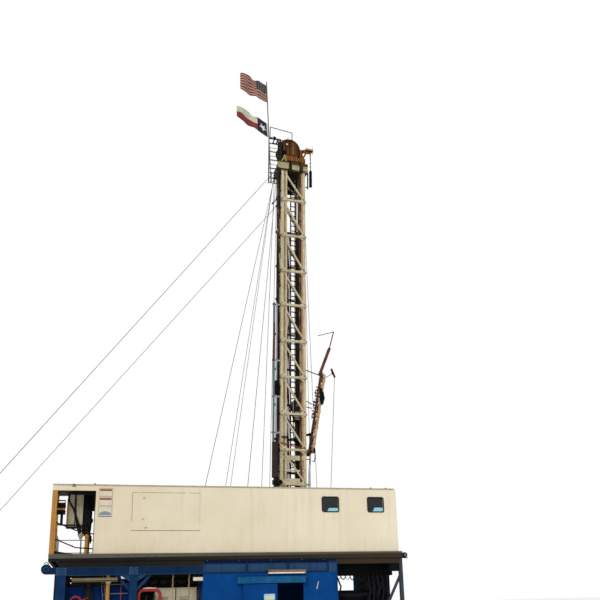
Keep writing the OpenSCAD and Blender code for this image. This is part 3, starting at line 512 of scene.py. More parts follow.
class Piece:
    """Solids gathered into one object; place turns given points into world positions."""

    def __init__(self, name, *mats, place=world):
        self.name, self.mats, self.place = name, mats, place
        self.verts, self.faces, self.index = [], [], []

    def add(self, verts, faces, m=0):
        n = len(self.verts)
        self.verts += [tuple(v) for v in verts]
        self.faces += [tuple(n + i for i in f) for f in faces]
        self.index += [m] * len(faces)

    def box(self, x0, x1, y0, y1, z0, z1, m=0):
        v = [self.place(x, y, z) for z in (z0, z1) for y in (y0, y1) for x in (x0, x1)]
        self.add(v, [(0, 2, 3, 1), (4, 5, 7, 6), (0, 1, 5, 4), (2, 6, 7, 3), (0, 4, 6, 2), (1, 3, 7, 5)], m)

    def boxes(self, m, *rows):
        for row in rows:
            self.box(*row, m)

    def posts(self, xs, half, y0, y1, z0, z1, m=0):
        """Like boxes side by side, each about an x."""
        for x in xs:
            self.box(*mid(x, half), y0, y1, z0, z1, m)

    def rungs(self, x0, x1, y0, y1, zs, half, m=0):
        """Like boxes one over the other, each about a z."""
        for z in zs:
            self.box(x0, x1, y0, y1, *mid(z, half), m)

    def bar(self, a, b, w, h, m=0):
        """Flat bar from a to b; w runs along y."""
        a, b = self.place(*a), self.place(*b)
        d = (b - a).normalized()
        s = (Y - d * Y.dot(d)).normalized()
        self.add([p + s * x * w / 2 + d.cross(s) * y * h / 2 for p in (a, b)
                  for x, y in ((-1, -1), (1, -1), (1, 1), (-1, 1))], skin(2, 4), m)

    def tube(self, points, r, n=8, m=0):
        """Round bar or pipe along points; r may be a list."""
        pts = [self.place(*p) for p in points]
        rs = r if isinstance(r, list) else [r] * len(pts)
        verts, side = [], None
        for k, p in enumerate(pts):
            d = (pts[min(k + 1, len(pts) - 1)] - pts[max(k - 1, 0)]).normalized()
            side = side or d.orthogonal().normalized()
            side = (side - d * side.dot(d)).normalized()
            verts += ring(p, side, d.cross(side), rs[k], n)
        self.add(verts, skin(len(pts), n), m)

    def pole(self, x, y, z0, z1, r, n=8, m=0):
        self.tube([(x, y, z0), (x, y, z1)], r, n, m)

    def lathe(self, profile, at, axis, n=24, m=0):
        """Turned shape: profile holds (distance along axis, radius)."""
        at, axis = self.place(*at), Vector(axis).normalized()
        s = axis.orthogonal().normalized()
        verts = [v for z, r in profile for v in ring(at + axis * z, s, axis.cross(s), r, n)]
        self.add(verts, skin(len(profile), n), m)

    def plate(self, outline, thick, m=0):
        """Flat plate from an outline of points, thickened by the vector thick."""
        a = [self.place(*p) for p in outline]
        self.add(a + [p + Vector(thick) for p in a], skin(2, len(a)), m)

    def bolt(self, at, axis, r=0.016, h=0.014, m=0):
        """Hexagon head on a washer."""
        self.lathe([(0, r * 1.5), (h * 0.25, r * 1.5), (h * 0.25, r * 1.45)], at, axis, 12, m)
        self.lathe([(h * 0.2, r), (h * 0.9, r), (h, r * 0.8)], at, axis, 6, m)

    def done(self, body="rig", bevel=0.0):
        mesh = bpy.data.meshes.new(self.name)
        mesh.from_pydata(self.verts, [], self.faces)
        for mat in self.mats:
            mesh.materials.append(mat)
        mesh.polygons.foreach_set("material_index", self.index)
        bm = bmesh.new()
        bm.from_mesh(mesh)
        bmesh.ops.recalc_face_normals(bm, faces=bm.faces)
        if bevel:
            sharp = [e for e in bm.edges if len(e.link_faces) == 2 and e.calc_face_angle(0) > math.radians(50)]
            bmesh.ops.bevel(bm, geom=sharp, offset=bevel, segments=1, affect="EDGES", clamp_overlap=True, material=-1)
        bm.to_mesh(mesh)
        bm.free()
        mesh.polygons.foreach_set("use_smooth", [True] * len(mesh.polygons))
        mesh.set_sharp_from_angle(angle=math.radians(38))
        obj = bpy.data.objects.new(self.name, mesh)
        bpy.context.scene.collection.objects.link(obj)
        if body:
            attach(obj, body)
        return obj




# Two ropes of three strands that hang from the front girder, with frays down their length
ROPE_Y, ROPE_R, ROPE_LEN = FRONT + 0.15, 0.016, 1.25
for name, x in (("rope_left", CAB0 - 1.12), ("rope_right", CAB0 - 0.515)):
    route = [Vector((x, ROPE_Y, GIRDER - 0.0003 - ROPE_LEN * k / 15)) for k in range(16)]
    p = Piece(name + "_strand", rope_fibre)
    for turn in range(3):
        turns = (2 * math.pi * (k / 61 * 9 + turn / 3) for k in range(61))
        p.tube([route[0].lerp(route[-1], k / 60) + (X * math.cos(a) + Y * math.sin(a)) * ROPE_R * 0.42
                for k, a in enumerate(turns)], ROPE_R * 0.58)
    hank = p.done()
    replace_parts(hank, name)
    frays = Piece(name + "_frays", rope_fibre)
    for k in range(14):
        root = Vector((x, ROPE_Y, GIRDER - 0.05 - 1.1 * k / 14))
        out = Vector((math.cos(2.4 * k), math.sin(2.4 * k), -0.5)) * 0.045
        frays.tube([root, root - Z * 0.02 + out * 0.6, root - Z * 0.07 + out], [0.014, 0.009, 0.003], 6)
    frays.done()

# House: seams, trims, a painted shadow line under the eave, roof fittings
EAVE = ROOF - 0.055
p = Piece("house_trim", white, eave_painted_shadow, place=front)
p.box(LEFT, low("bay_header").x + 0.01, -0.006, 0, low("bay_header").z, EAVE)
# Darker strip along the top of the front wall: painted shadow under the eave
p.box(LEFT, RIGHT - 0.07, -0.008, 0, EAVE, ROOF + 0.004, 1)
p.boxes(0, (BAY, RIGHT, -0.012, 0, DECK, DECK + 0.05), (RIGHT, RIGHT + 0.012, 0, DEPTH, DECK, DECK + 0.05),
        (LEFT, RIGHT - 0.07, DEPTH, DEPTH + 0.008, ROOF - 0.04, ROOF + 0.004))
p.posts((-2.86, -0.44, 2.0, 4.9), 0.006, -0.003, 0, DECK + 0.05, ROOF - 0.04)
p.posts((-3.9, -1.4, 1.1, 2.9), 0.006, DEPTH, DEPTH + 0.003, DECK, ROOF - 0.04)
p.posts((-4.4, -1.2, 2.2, 5.4), 0.01, 0.02, DEPTH - 0.02, ROOF, ROOF + 0.005)
for y in (0.02, DEPTH - 0.02):
    p.pole(RIGHT + 0.001, y, DECK, ROOF - 0.07, 0.016)
p.done(bevel=0.0015)

p = Piece("roof_fittings", black, place=front)
for x in (-5.32, 5.82, 6.5):
    for y in (0.24, DEPTH - 0.24):
        p.box(*mid(x, 0.05), *mid(y, 0.06), ROOF, ROOF + 0.012)
        p.tube(arc((x, y, ROOF + 0.01), 0.045, 0, 180, 10), 0.016)
HOOK_X = -6.07
p.box(HOOK_X - 0.07, HOOK_X + 0.02, -0.016, 0, ROOF - 0.09, ROOF - 0.075)
p.tube([(HOOK_X + dx, y, ROOF + dz) for dx, y, dz in
        ((0.01, -0.01, -0.08), (0.04, -0.05, -0.06), (0, -0.06, -0.01), (-0.05, -0.03, 0))], 0.014)
p.done(bevel=0.002)

# Closed hatch in the front wall: a seal round it, two hinges' covers and three catches
p = Piece("hatch_fittings", dark, white, bare, place=front)
(hx0, _, hz0), (hx1, _, hz1) = low("wall_hatch"), high("wall_hatch")
SEAL = 0.010
for x0, x1, z0, z1 in (
    (hx0 - SEAL, hx1 + SEAL, hz0 - SEAL, hz0), (hx0 - SEAL, hx1 - 0.55, hz1, hz1 + SEAL),
    (hx1 - 0.42, hx1 + SEAL, hz1, hz1 + SEAL), (hx0 - SEAL, hx0, hz0 + 0.35, hz1),
):
    p.box(x0, x1, -0.0125, -0.001, z0, z1)
p.box(hx1, hx1 + SEAL * 0.7, -0.0115, -0.001, hz0, hz1, 1)
for x in (hx0 + 0.3, hx1 - 0.3):
    p.tube([(x - 0.08, -0.016, hz1 + 0.014), (x + 0.08, -0.016, hz1 + 0.014)], 0.013, 8, 1)
    p.box(*mid(x, 0.07), -0.015, -0.010, hz1 - 0.06, hz1 + 0.01, 1)
for x, z in ((hx0 + 0.42, hz1 - 0.2), (hx0 + 0.4, hz0 + 0.42), (hx0 + 0.52, hz0 + 0.1)):
    p.box(*mid(x, 0.05), -0.017, -0.010, *mid(z, 0.04), 1)
    p.tube([(x - 0.035, -0.026, z), (x + 0.035, -0.026, z)], 0.009, 8, 2)
p.done(bevel=0.001)

# Windows: rubber beads, and the tilted lower pane of each, pale blue as painted light of the bright sky seen in the
# glass
WINDOWS, WINDOW_Z = (3.955, 5.91), 5.23
p = Piece("window_beads", rubber, grey, place=front)
for wx in WINDOWS:
    for y, s in ((-0.02, -1), (DEPTH + 0.02, 1)):
        loop = []
        for sx, sz, a in ((1, 1, 0), (-1, 1, 90), (-1, -1, 180), (1, -1, 270)):
            loop += arc((wx + sx * 0.2825, y, WINDOW_Z + sz * 0.23), 0.0675, a, a + 90, 6)
        p.tube(loop + loop[:1], 0.012)
        inner = [(wx + (v[0] - wx) * 0.95, y - s * 0.014, WINDOW_Z + (v[2] - WINDOW_Z) * 0.945) for v in loop]
        p.tube(inner + inner[:1], 0.008, 6, 1)
p.done()

p = Piece("window_louvres", painted_sky_glass, bare, place=front)
z0 = WINDOW_Z - 0.276
for x0, x1, z1 in ((3.82, 4.285, 5.09), (5.79, 6.24, 5.115)):
    p.plate([(x0, 0.028, z0), (x1, 0.028, z0), (x1, 0.016, z1), (x0 + 0.09, 0.016, z1)], (0, 0.006, 0))
    p.tube([(x0 + 0.09, 0.016, z1), (x1, 0.016, z1)], 0.006, 6, 1)
    p.tube([(x0 + 0.2, 0.048, z0), (x0 + 0.2, 0.028, z1 - 0.04)], 0.005, 6, 1)
p.done(bevel=0.001)

# Bare sign plates with a coloured band or field
SIGN0, SIGN1 = -5.15, -4.655
p = Piece("wall_plates", sign_cream, red_band, sign_blue, dark, place=front)
for z0, z1, banded in ((5.455, 5.755, True), (5.10, 5.42, True), (4.70, 5.065, False)):
    p.box(SIGN0, SIGN1, -0.006, 0, z0, z1)
    if banded:
        p.box(SIGN0 + 0.03, SIGN1 - 0.03, -0.0075, -0.005, z1 - 0.10, z1 - 0.03, 1)
    else:
        dome = arc(((SIGN0 + SIGN1) / 2, -0.0075, z0 + 0.06), 0.225, 0, 180, 18, v=Z * 0.62)
        p.plate(dome, (0, 0.0025, 0), 2)
        p.box(SIGN0 + 0.03, SIGN1 - 0.03, -0.0075, -0.005, z0 + 0.012, z0 + 0.024, 3)
    for x in (SIGN0, SIGN1 - 0.008):
        p.box(x, x + 0.008, -0.0072, -0.005, z0, z1, 3)
    for z in (z0, z1 - 0.008):
        p.box(SIGN0, SIGN1, -0.0072, -0.005, z, z + 0.008, 3)
p.done()

# Machine in the open bay at the left end
p = Piece("bay_machine", panel, ochre, black, blue_shade_and_dirt, dark, bare, place=front)
for x in (-6.27, -5.97):
    p.boxes(0, (x, x + 0.27, 0.7, 0.95, 4.39, 5.60), (x + 0.02, x + 0.25, 0.694, 0.7, 4.43, 5.55))
    for z in (4.5, 4.95, 5.4):
        for dx in (0.035, 0.235):
            p.bolt((x + dx, 0.694, z), -Y, 0.010, 0.008, 5)
p.box(-6.29, -6.225, 0.68, 0.9, 4.37, 5.42, 1)
# Dark steel: a strip behind the gap between the panels, a band over them that is painted shade under the roof, and a
# block below them
p.boxes(4, (-6.02, -5.95, 0.9, 0.95, 4.39, 5.60), (-6.27, -5.35, 0.7, 0.95, 5.59, 5.68),
        (-6.27, -5.5, 0.639, 0.701, 4.31, 4.39))
# Black block on a stem, with a gold band and an open loop handle on top
for z, h, grow, m in ((4.84, 0.14, 0, 2), (4.98, 0.08, -0.012, 1), (5.06, 0.14, 0, 2)):
    p.box(*mid(-6.5, 0.16 + grow), *mid(0.58, 0.16 + grow), z, z + h, m)
p.box(*mid(-6.5, 0.145), *mid(0.58, 0.145), 5.2, 5.26, 4)
for y in (0.58, 0.5):
    p.tube(upright(y, (-6.63, 5.22), (-6.63, 5.345), (-6.36, 5.345), (-6.36, 5.22)), 0.022, 8, 2)
for z in (4.86, 4.94, 5.1, 5.17):
    p.box(*mid(-6.5, 0.17), *mid(0.58, 0.17), z, z + 0.018, 4)
p.pole(-6.46, 0.59, 4.42, 4.85, 0.05, 16, 3)
p.lathe([(0, 0.085), (0.03, 0.08), (0.05, 0.055)], (-6.46, 0.59, 4.44), Z, 18, 3)
p.tube([(-6.61, 0.6, 4.455), (-5.5, 0.6, 4.42)], 0.024, 10, 2)
# Dark valve mass hung below the roof
for x, z0, z1, r in (
    (-5.66, 4.10, 5.60, 0.062), (-5.56, 4.07, 5.62, 0.075), (-5.47, 4.16, 5.12, 0.085), (-5.42, 4.35, 4.98, 0.07),
):
    p.tube([(x, 0.75, z0), (x, 0.75, (z0 + z1) / 2), (x + 0.01, 0.77, z1)], [r * 0.8, r, r * 0.85], 12, 2)
for x, z, r in (
    (-5.45, 4.93, 0.10), (-5.42, 4.62, 0.115), (-5.46, 4.35, 0.10), (-5.62, 4.28, 0.08), (-5.43, 4.2, 0.05),
):
    p.lathe(barrel(-0.09, 0.09, 0.03, r * 0.5, r), (x, 0.72, z), (0, 1, 0.15), 14, 2)
for k in range(7):
    p.bolt((-5.55 + 0.05 * (k % 3), 0.66, 4.2 + 0.13 * k), -Y, 0.024, 0.07, 4)
p.box(-5.71, -5.39, 0.8, 0.96, 4.07, 4.3, 4)
p.box(-5.64, -5.37, 0.81, 0.86, 4.25, 5.05, 2)
p.tube(upright(0.74, (-5.38, 4.05), (-5.36, 3.9), (-5.37, 3.77)), [0.04, 0.035, 0.02], 8, 2)
p.tube([(-5.42, 0.74, 4.2), (-5.37, 0.74, 4.02)], 0.02, 8, 2)
# Pipes that stand on the deck
p.pole(-5.50, 0.74, DECK, 4.11, 0.08, 18, 1)
p.tube([(-5.425, 0.67, DECK), (-5.43, 0.67, 3.7), (-5.40, 0.7, 4.1)], 0.026, 10, 4)
for z in (DECK, 3.62, 4.0):
    p.lathe([(0, 0.10), (0.03, 0.10), (0.04, 0.085)], (-5.50, 0.74, z), Z, 18, 1)
p.lathe([(0, 0.03), (0.06, 0.045), (0.20, 0.12), (0.23, 0.125)], (-5.735, 0.74, 3.88), Z, 20)
p.pole(-5.715, 0.74, DECK, 3.9, 0.026, 12, 5)
p.lathe([(0, 0.06), (0.025, 0.06), (0.03, 0.03)], (-5.715, 0.74, DECK), Z, 14, 5)
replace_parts(p.done(bevel=0.003), "bay_equipment")

# Two bundles that cross the panels, and small hoses round the valves
p = Piece("bay_hoses", rubber, dark, place=front)
for k in range(3):
    d = 0.024 * k
    p.tube([(-6.26 + d, 0.675, 5.60), (-6.26 + d, 0.66, 5.40 - d), (-6.19 + d, 0.65, 5.24), (-6.06 + d, 0.645, 5.03),
            (-5.95 + d, 0.645, 4.72), (-5.85 + d, 0.65, 4.45), (-5.79 + d, 0.65, 4.24), (-5.78 + d, 0.67, 4.12)], 0.013)
for d in (0, 0.028):
    p.tube([(-6.005 + d, 0.675, 5.62), (-6.0 + d, 0.66, 5.35), (-5.99 + d, 0.655, 5.0), (-5.97 + d, 0.655, 4.75),
            (-5.93 + d, 0.66, 4.5), (-5.85 + d, 0.67, 4.22), (-5.82 + d, 0.68, 4.1)], 0.016)
for k in range(9):
    a = (-5.86 + 0.05 * (k % 4), 0.67, 4.40 - 0.04 * (k % 3))
    b = (-5.60 + 0.03 * (k % 5), 0.66, 4.30 + 0.07 * (k % 4))
    p.tube(sag(a, b, 0.10 + 0.02 * (k % 4), 10), 0.014)
for k in range(5):
    a = Vector((-5.62 + 0.04 * k, 0.64, 5.0 - 0.08 * k))
    p.tube([a + Vector(d) for d in ((0, 0, 0), (0.03, -0.03, -0.2), (-0.02, -0.02, -0.45), (0.02, 0, -0.62))], 0.016)
# Dark sheets below the roof: painted shade in the top of the bay
p.boxes(1, (BAY - 0.94, BAY - 0.001, DEPTH - 0.3, DEPTH - 0.09, 5.16, ROOF - 0.071),
        (LEFT + 0.19, BAY - 0.001, 0.10, DEPTH - 0.09, ROOF - 0.10, ROOF - 0.0705),
        (BAY - 0.035, BAY - 0.001, 0.09, DEPTH - 0.09, 5.17, ROOF - 0.09))
p.done()

p = Piece("bay_rails", dark, place=front)
for z0, z1, z2 in ((4.516, 4.22, 4.09), (3.914, 3.60, 3.556)):
    p.tube([(LEFT + 0.14, 0.14, z0), (-5.89, 0.4, z1), (BAY + 0.01, 0.42, z2)], 0.022)
p.pole(-6.02, 0.36, 3.72, 3.60, 0.008, 6)
a, b = Vector((LEFT + 0.14, 0.14, 4.516)), Vector((-5.89, 0.4, 4.22))
p.tube([a.lerp(b, 0.45), a.lerp(b, 0.55) - Vector((0, 0.03, 0.09)), a.lerp(b, 0.65)], 0.006, 6)
p.plate(upright(0.1, (LEFT + 0.18, DECK), (-5.9, DECK), (LEFT + 0.18, DECK + 0.12)), (0, 0.04, 0))
p.done(bevel=0.002)

# Deck edge and the girders
p = Piece("deck_trim", deck_mat, grey, dark)
x0, x1, y0, y1 = DECK0.x, DECK1.x, DECK0.y, DECK1.y
for sides in ((x0, x1, y0 - 0.008, y0), (x0, x1, y1, y1 + 0.008), (x0 - 0.008, x0, y0, y1), (x1, x1 + 0.008, y0, y1)):
    p.box(*sides, DECK - 0.032, DECK + 0.002)
p.box(x0, x1, y0 - 0.006, y0, EDGE, EDGE + 0.012, 2)
p.posts(range(-6, 7, 3), 0.005, y0 - 0.004, y0, EDGE + 0.012, DECK - 0.03, 2)
p.done(bevel=0.002)

p = Piece("girder_fittings", plate_blue, blue_shade_and_dirt, bare, black, grey, place=front)
POST0 = low("front_posts").x
POST1 = (-3.916, -3.636)
for x, w in ((POST0, 0.33), (POST1[0], 0.28)):
    p.box(x - 0.025, x + w + 0.02, -0.022, 0, GIRDER + 0.005, GIRDER + 0.295)
    for dx in (0.0, w - 0.005):
        for z in (GIRDER + 0.05, GIRDER + 0.15, GIRDER + 0.25):
            p.bolt((x + dx, -0.022, z), -Y, 0.013, 0.014, 2)
    p.box(x - 0.03, x + w + 0.03, -0.01, 0.25, SKID, SKID + 0.025, 1)
for z in (GIRDER, GIRDER + 0.278):
    p.box(POST0, CAB0, -0.008, 0, z, z + 0.022)
p.posts((-5.4, -4.6, -3.2, -2.2, -1.6), 0.005, -0.005, 0, GIRDER + 0.022, GIRDER + 0.278, 1)
# Gussets between the second post and the girder
for x, reach in zip(POST1, (-0.36, 0.36)):
    p.plate(upright(0.02, (x, GIRDER + 0.001), (x + reach, GIRDER + 0.001), (x, GIRDER - 0.24)), (0, 0.02, 0))
# Pin through the round lug
p.lathe([(-0.03, 0.03), (-0.02, 0.055), (0.0, 0.06), (0.03, 0.06)], (-6.867, 0, 2.82), Y, 20, 1)
p.lathe([(-0.012, 0.10), (0, 0.11), (0.03, 0.11)], (-6.867, 0.01, 2.82), Y, 28)
p.tube([(-6.95, 0.05, 3.02), (-6.87, 0.03, 3.07), (-6.78, 0.04, 3.0)], 0.016, 8, 1)
# Roller on the right end of the edge beam
roller = Vector((high("deck_edge").x - 0.1, low("deck_edge").y + 0.03 - FRONT, EDGE + 0.11))
p.lathe([(-0.012, 0.06), (-0.012, 0.10), (0.03, 0.108), (0.36, 0.108), (0.372, 0.1), (0.372, 0.06)], roller, Y, 28, 3)
p.lathe([(-0.022, 0.02), (-0.018, 0.055), (-0.01, 0.058)], roller, Y, 20, 4)
p.box(DECK1.x - 0.02, DECK1.x + 0.25, roller.y, roller.y + 0.06, EDGE - 0.02, EDGE + 0.012, 3)
p.done(bevel=0.002)

p = Piece("lamp_bar", ochre_grey, lamp_glass, black, place=front)
p.boxes(0, (-5.967, -4.34, -0.035, 0.03, 2.355, 2.465), (-5.96, -4.35, -0.045, 0.05, 2.462, 2.49))
p.boxes(2, (-5.95, -4.36, -0.042, -0.034, 2.375, 2.40), (-4.35, -4.27, -0.05, 0.045, 2.33, 2.495),
        (-5.985, -5.955, -0.045, 0.04, 2.33, 2.485), (-4.17, -4.15, 0.02, 0.05, 2.5, GIRDER + 0.002))
for z in (2.485, 2.325):
    p.lathe([(-0.02, 0.014), (0, 0.022), (0.02, 0.014)], (-5.985, -0.04, z), Y, 12, 1)
p.posts((-5.75, -4.55), 0.02, 0, 0.03, 2.48, GIRDER + 0.002, 2)
# Small pale cover beside it
p.plate(upright(0.02, (-4.235, 2.535), (-4.12, 2.53), (-4.045, 2.445), (-4.20, 2.455)), (0, 0.03, 0), 1)
p.done(bevel=0.003)

# Pipes, hoses and a hoop between the posts
CAP_X, CAP_Y = -4.677, 0.125
HOOP0, HOOP1, HOOP_Z, BEND = -3.56, -2.77, 2.03, 0.2
p = Piece("standing_pipes", ochre, hose_red, place=front)
p.pole(CAP_X, CAP_Y, SKID, GIRDER + 0.001, 0.07, 24)
hoop = [(HOOP0, 0.15, SKID), *arc((HOOP0 + BEND, 0.15, HOOP_Z - BEND), BEND, 180, 90, 10)]
hoop += [*arc((HOOP1 - BEND, 0.15, HOOP_Z - BEND), BEND, 90, 0, 10), (HOOP1, 0.15, SKID)]
p.tube(hoop, 0.06, 24, 1)
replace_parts(p.done(), "under_deck_pipes")

p = Piece("pipe_fittings", ochre, hose_red, bare, dark, pale_blue, sign_cream, grey, place=front)
HANG = GIRDER + 0.302
for z in (SKID + 0.02, 1.3, 2.26):
    p.lathe([(0, 0.085), (0.03, 0.092), (0.05, 0.085)], (CAP_X, CAP_Y, z), Z, 20)
p.lathe([(0, 0.1), (0.05, 0.105), (0.07, 0.09)], (CAP_X, CAP_Y, 2.30), Z, 20, 5)
for x, z in ((-4.78, 1.927), (-4.60, 2.257)):
    p.tube([(x, 0.2, z), (-3.80, 0.2, z)], 0.018, 10, 6)
    p.box(-3.93, -3.90, 0.17, 0.23, *mid(z, 0.03), 3)
p.pole(-4.2, 0.2, GIRDER + 0.002, 1.05, 0.016, 8, 1)
p.tube([(-4.2, 0.2, 1.12), (-4.08, 0.16, 1.5), (-3.97, 0.16, 1.62), (-3.93, 0.2, 1.62)], 0.014, 8, 4)
# Small leaning ladder
top, foot, half = Vector((-4.858, 0.24, 2.303)), Vector((-4.60, 0.24, SKID)), X * 0.05
for s in (-half, half):
    p.bar(top + s, foot + s, 0.03, 0.02, 6)
for k in range(7):
    rung = top.lerp(foot, 0.05 + k * 0.15)
    p.tube([rung - X * 0.06, rung + X * 0.06], 0.010, 8, 6)
p.tube([(-4.858, 0.24, 2.29), (-4.858, 0.24, 2.36), (-4.858, 0.17, GIRDER + 0.01)], 0.014, 8, 6)
# Dark column with flanges, and a coil of hose on it
p.pole(-5.35, 0.42, SKID, GIRDER + 0.002, 0.10, 16, 3)
for z in (0.9, 1.5, 2.05, 2.3):
    p.lathe([(0, 0.15), (0.04, 0.155), (0.06, 0.14)], (-5.35, 0.42, z), Z, 18, 3)
for k in range(5):
    c = (-5.80 + 0.015 * (k % 2), 0.26 - 0.045 * k, 1.66 - 0.01 * (k % 3))
    p.tube(arc(c, 0.19 + 0.012 * (k % 2), 0, 342, 26), 0.021, 8, 1)
p.tube([(-5.62, 0.1, 1.66), (-5.5, 0.14, 1.75), (-5.36, 0.3, 1.8)], 0.022, 8, 1)
# Fittings of the red hoop
for x in (HOOP0, HOOP1):
    for z in (0.9, 1.55):
        p.lathe([(0, 0.078), (0.03, 0.082), (0.05, 0.078)], (x, 0.15, z), Z, 18, 1)
p.tube([(HOOP0 + 0.15, 0.15, HOOP_Z + 0.05), ((HOOP0 + HOOP1) / 2, 0.15, HOOP_Z + 0.068),
        (HOOP1 - 0.15, 0.15, HOOP_Z + 0.05)], 0.026, 10, 5)
for x in (-3.3, -3.02):
    p.tube([(x, 0.25, SKID), (x, 0.25, 1.6), (x + 0.05, 0.3, 1.85)], 0.03, 10, 3)
# Dark duct and beam below the deck, a dark block and two dark screens that paint the shade under the deck, and the
# coil's bracket
p.boxes(3, (-5.50, -5.20, 0.38, 0.49, SKID, 2.12), (-5.84, -5.34, 0.05, 0.33, 1.425, 1.46),
        (-3.6, -1.25, 0.86, 1.2, 2.0, HANG), (-6.0, -4.3, 0.55, 0.67, 2.18, GIRDER + 0.02),
        (-3.72, -2.93, 1.2, 1.24, SKID, HANG), (-6.6, -6.0, 1.25, 1.29, SKID, HANG))
p.posts((-5.9, -5.2, -4.5), 0.03, 0.58, 0.64, GIRDER, HANG, 3)
# Dark machinery above the boxes
for k in range(6):
    x = -3.35 + 0.36 * k
    p.lathe([(-0.16, 0.05), (-0.12, 0.12), (0.1, 0.13), (0.16, 0.06)], (x, 0.75, 2.32), (1, 0.2, 0.1), 14, 3)
    p.pole(x, 0.75, 2.4, HANG, 0.035, 8, 3)
p.tube([(-3.6, 0.75, 2.36), (-1.3, 0.75, 2.36)], 0.06, 12, 3)
# Pale box against the cabin
p.box(-1.56, CAB0 + 0.001, 0.02, 0.12, 2.33, 2.46, 5)
p.box(-1.54, -1.5, 0.05, 0.09, 2.46, GIRDER + 0.002, 3)
p.done(bevel=0.002)

p = Piece("tank_fittings", blue_tank, blue_shade_and_dirt, bare, panel, dark)
t0, t1 = low("under_deck_tank"), high("under_deck_tank")
for k in range(7):
    x = t0.x + 0.02 + (t1.x - t0.x - 0.07) * k / 6
    p.box(x, x + 0.03, t0.y - 0.03, t0.y, t0.z + 0.06, t1.z - 0.03, 1)
p.boxes(0, (t0.x - 0.02, t1.x + 0.02, t0.y - 0.04, t1.y + 0.02, *mid(t1.z, 0.03)),
        (t0.x - 0.01, t1.x + 0.01, t0.y - 0.03, t0.y, t0.z, t0.z + 0.07))
b0, b1 = low("under_deck_boxes"), high("under_deck_boxes")
for x in (b0.x, b0.x + 0.80):
    end = x + 0.76
    p.box(x + 0.04, end - 0.04, b0.y - 0.01, b0.y, b0.z + 0.08, b1.z - 0.06, 3)
    p.box(x - 0.015, end + 0.015, b0.y - 0.02, b1.y + 0.01, b1.z - 0.01, b1.z + 0.018, 3)
    p.pole(end - 0.12, b0.y - 0.03, 1.1, 1.3, 0.012, 8, 2)
    for z in (1.12, 1.28):
        p.tube([(end - 0.12, b0.y - 0.005, z), (end - 0.12, b0.y - 0.03, z)], 0.01, 8, 2)
    for k in range(6):
        p.box(x + 0.12, x + 0.5, b0.y - 0.014, b0.y - 0.01, 1.5 + 0.05 * k, 1.515 + 0.05 * k, 4)
p.done(bevel=0.003)

# Cabin under the deck
p = Piece("cabin_trim", blue, blue_shade_and_dirt, bare, sign_cream, dark, place=front)
RIB, GAP = 0.06, (CAB1 - CAB0 - 0.4) / 3
p.boxes(0, (CAB1 - 0.03, CAB1 + 0.008, -0.012, 0, SKID, EDGE - 0.002),
        (CAB0 - 0.008, CAB0 + 0.03, -0.010, 0, SKID, GIRDER - 0.02))
p.boxes(1, (CAB0, CAB1 - 0.35, -0.010, 0, GIRDER - 0.004, GIRDER + 0.045),
        (CAB0, CAB1 - 0.35, -0.008, 0, EDGE - 0.06, EDGE - 0.004))
for k in range(1, 4):
    p.box(*mid(CAB0 + 0.03 + GAP * k, RIB / 2), -0.005, 0, GIRDER + 0.04, EDGE - 0.05, 1)
for x in (-0.4, 3.1):
    p.box(x, x + 0.012, -0.004, 0, SKID + 0.1, GIRDER - 0.05)
for x in (-1.05, 0.2, 1.45, 2.7, 3.6):
    p.bolt((x, -0.008, EDGE - 0.03), -Y, 0.014, 0.012, 2)
# Scrape down to the primer
p.plate(upright(-0.002, (3.345, 2.21), (3.375, 2.235), (3.30, 1.94), (3.262, 1.93)), (0, 0.0021, 0), 3)
# Ribs and rails of the right wall
for y in (0.7, 1.7, 2.5):
    p.box(CAB1, CAB1 + 0.008, y, y + RIB, SKID + 0.31, GIRDER - 0.28)
for z in (SKID + 0.25, GIRDER - 0.28):
    p.box(CAB1, CAB1 + 0.008, 0.3, 2.7, z, z + RIB)
p.done(bevel=0.0015)

# Sliding door: a raised frame, a plain sign plate and a handle
p = Piece("door_fittings", blue, bare, pale_blue, dark, sign_cream)
d0, d1 = low("sliding_door"), high("sliding_door")
FACE, LEAF_TOP = -4.695, low("door_track").z - 0.01
for z in (d0.z + 0.02, LEAF_TOP - 0.1):
    p.box(d0.x + 0.002, d1.x - 0.002, FACE - 0.008, FACE, z, z + 0.08)
for x in (d0.x + 0.002, (d0.x + d1.x) / 2 - 0.04, d1.x - 0.082):
    p.box(x, x + 0.08, FACE - 0.008, FACE, d0.z + 0.1, LEAF_TOP - 0.1)
p.box(1.133, 1.565, FACE - 0.012, FACE, 1.56, 1.79, 2)
p.box(1.18, 1.52, FACE - 0.013, FACE - 0.0115, 1.585, 1.72, 4)
for x in (1.15, 1.548):
    for z in (1.578, 1.772):
        p.bolt((x, FACE - 0.012, z), -Y, 0.006, 0.004, 1)
p.tube([(1.55, FACE - d, z) for d, z in ((0.005, 1.05), (0.045, 1.08), (0.045, 1.3), (0.005, 1.33))], 0.012, 8, 1)
p.done("sliding_door", bevel=0.002)

p = Piece("track_fittings", blue_track, bare)
k0, k1 = low("door_track"), high("door_track")
for k in range(6):
    x = k0.x + 0.09 + (k1.x - k0.x - 0.2) * k / 5
    p.plate([(x, FRONT - 0.001, k1.z), (x, FRONT - 0.11, k1.z), (x, FRONT - 0.001, k1.z + 0.08)], (0.012, 0, 0))
    p.bolt((x + 0.06, k0.y, k0.z + 0.12), -Y, 0.011, 0.01, 1)
for z in (k0.z, k1.z - 0.02):
    p.box(k0.x, k1.x, k0.y - 0.004, k0.y, z, z + 0.02)
p.done(bevel=0.0015)

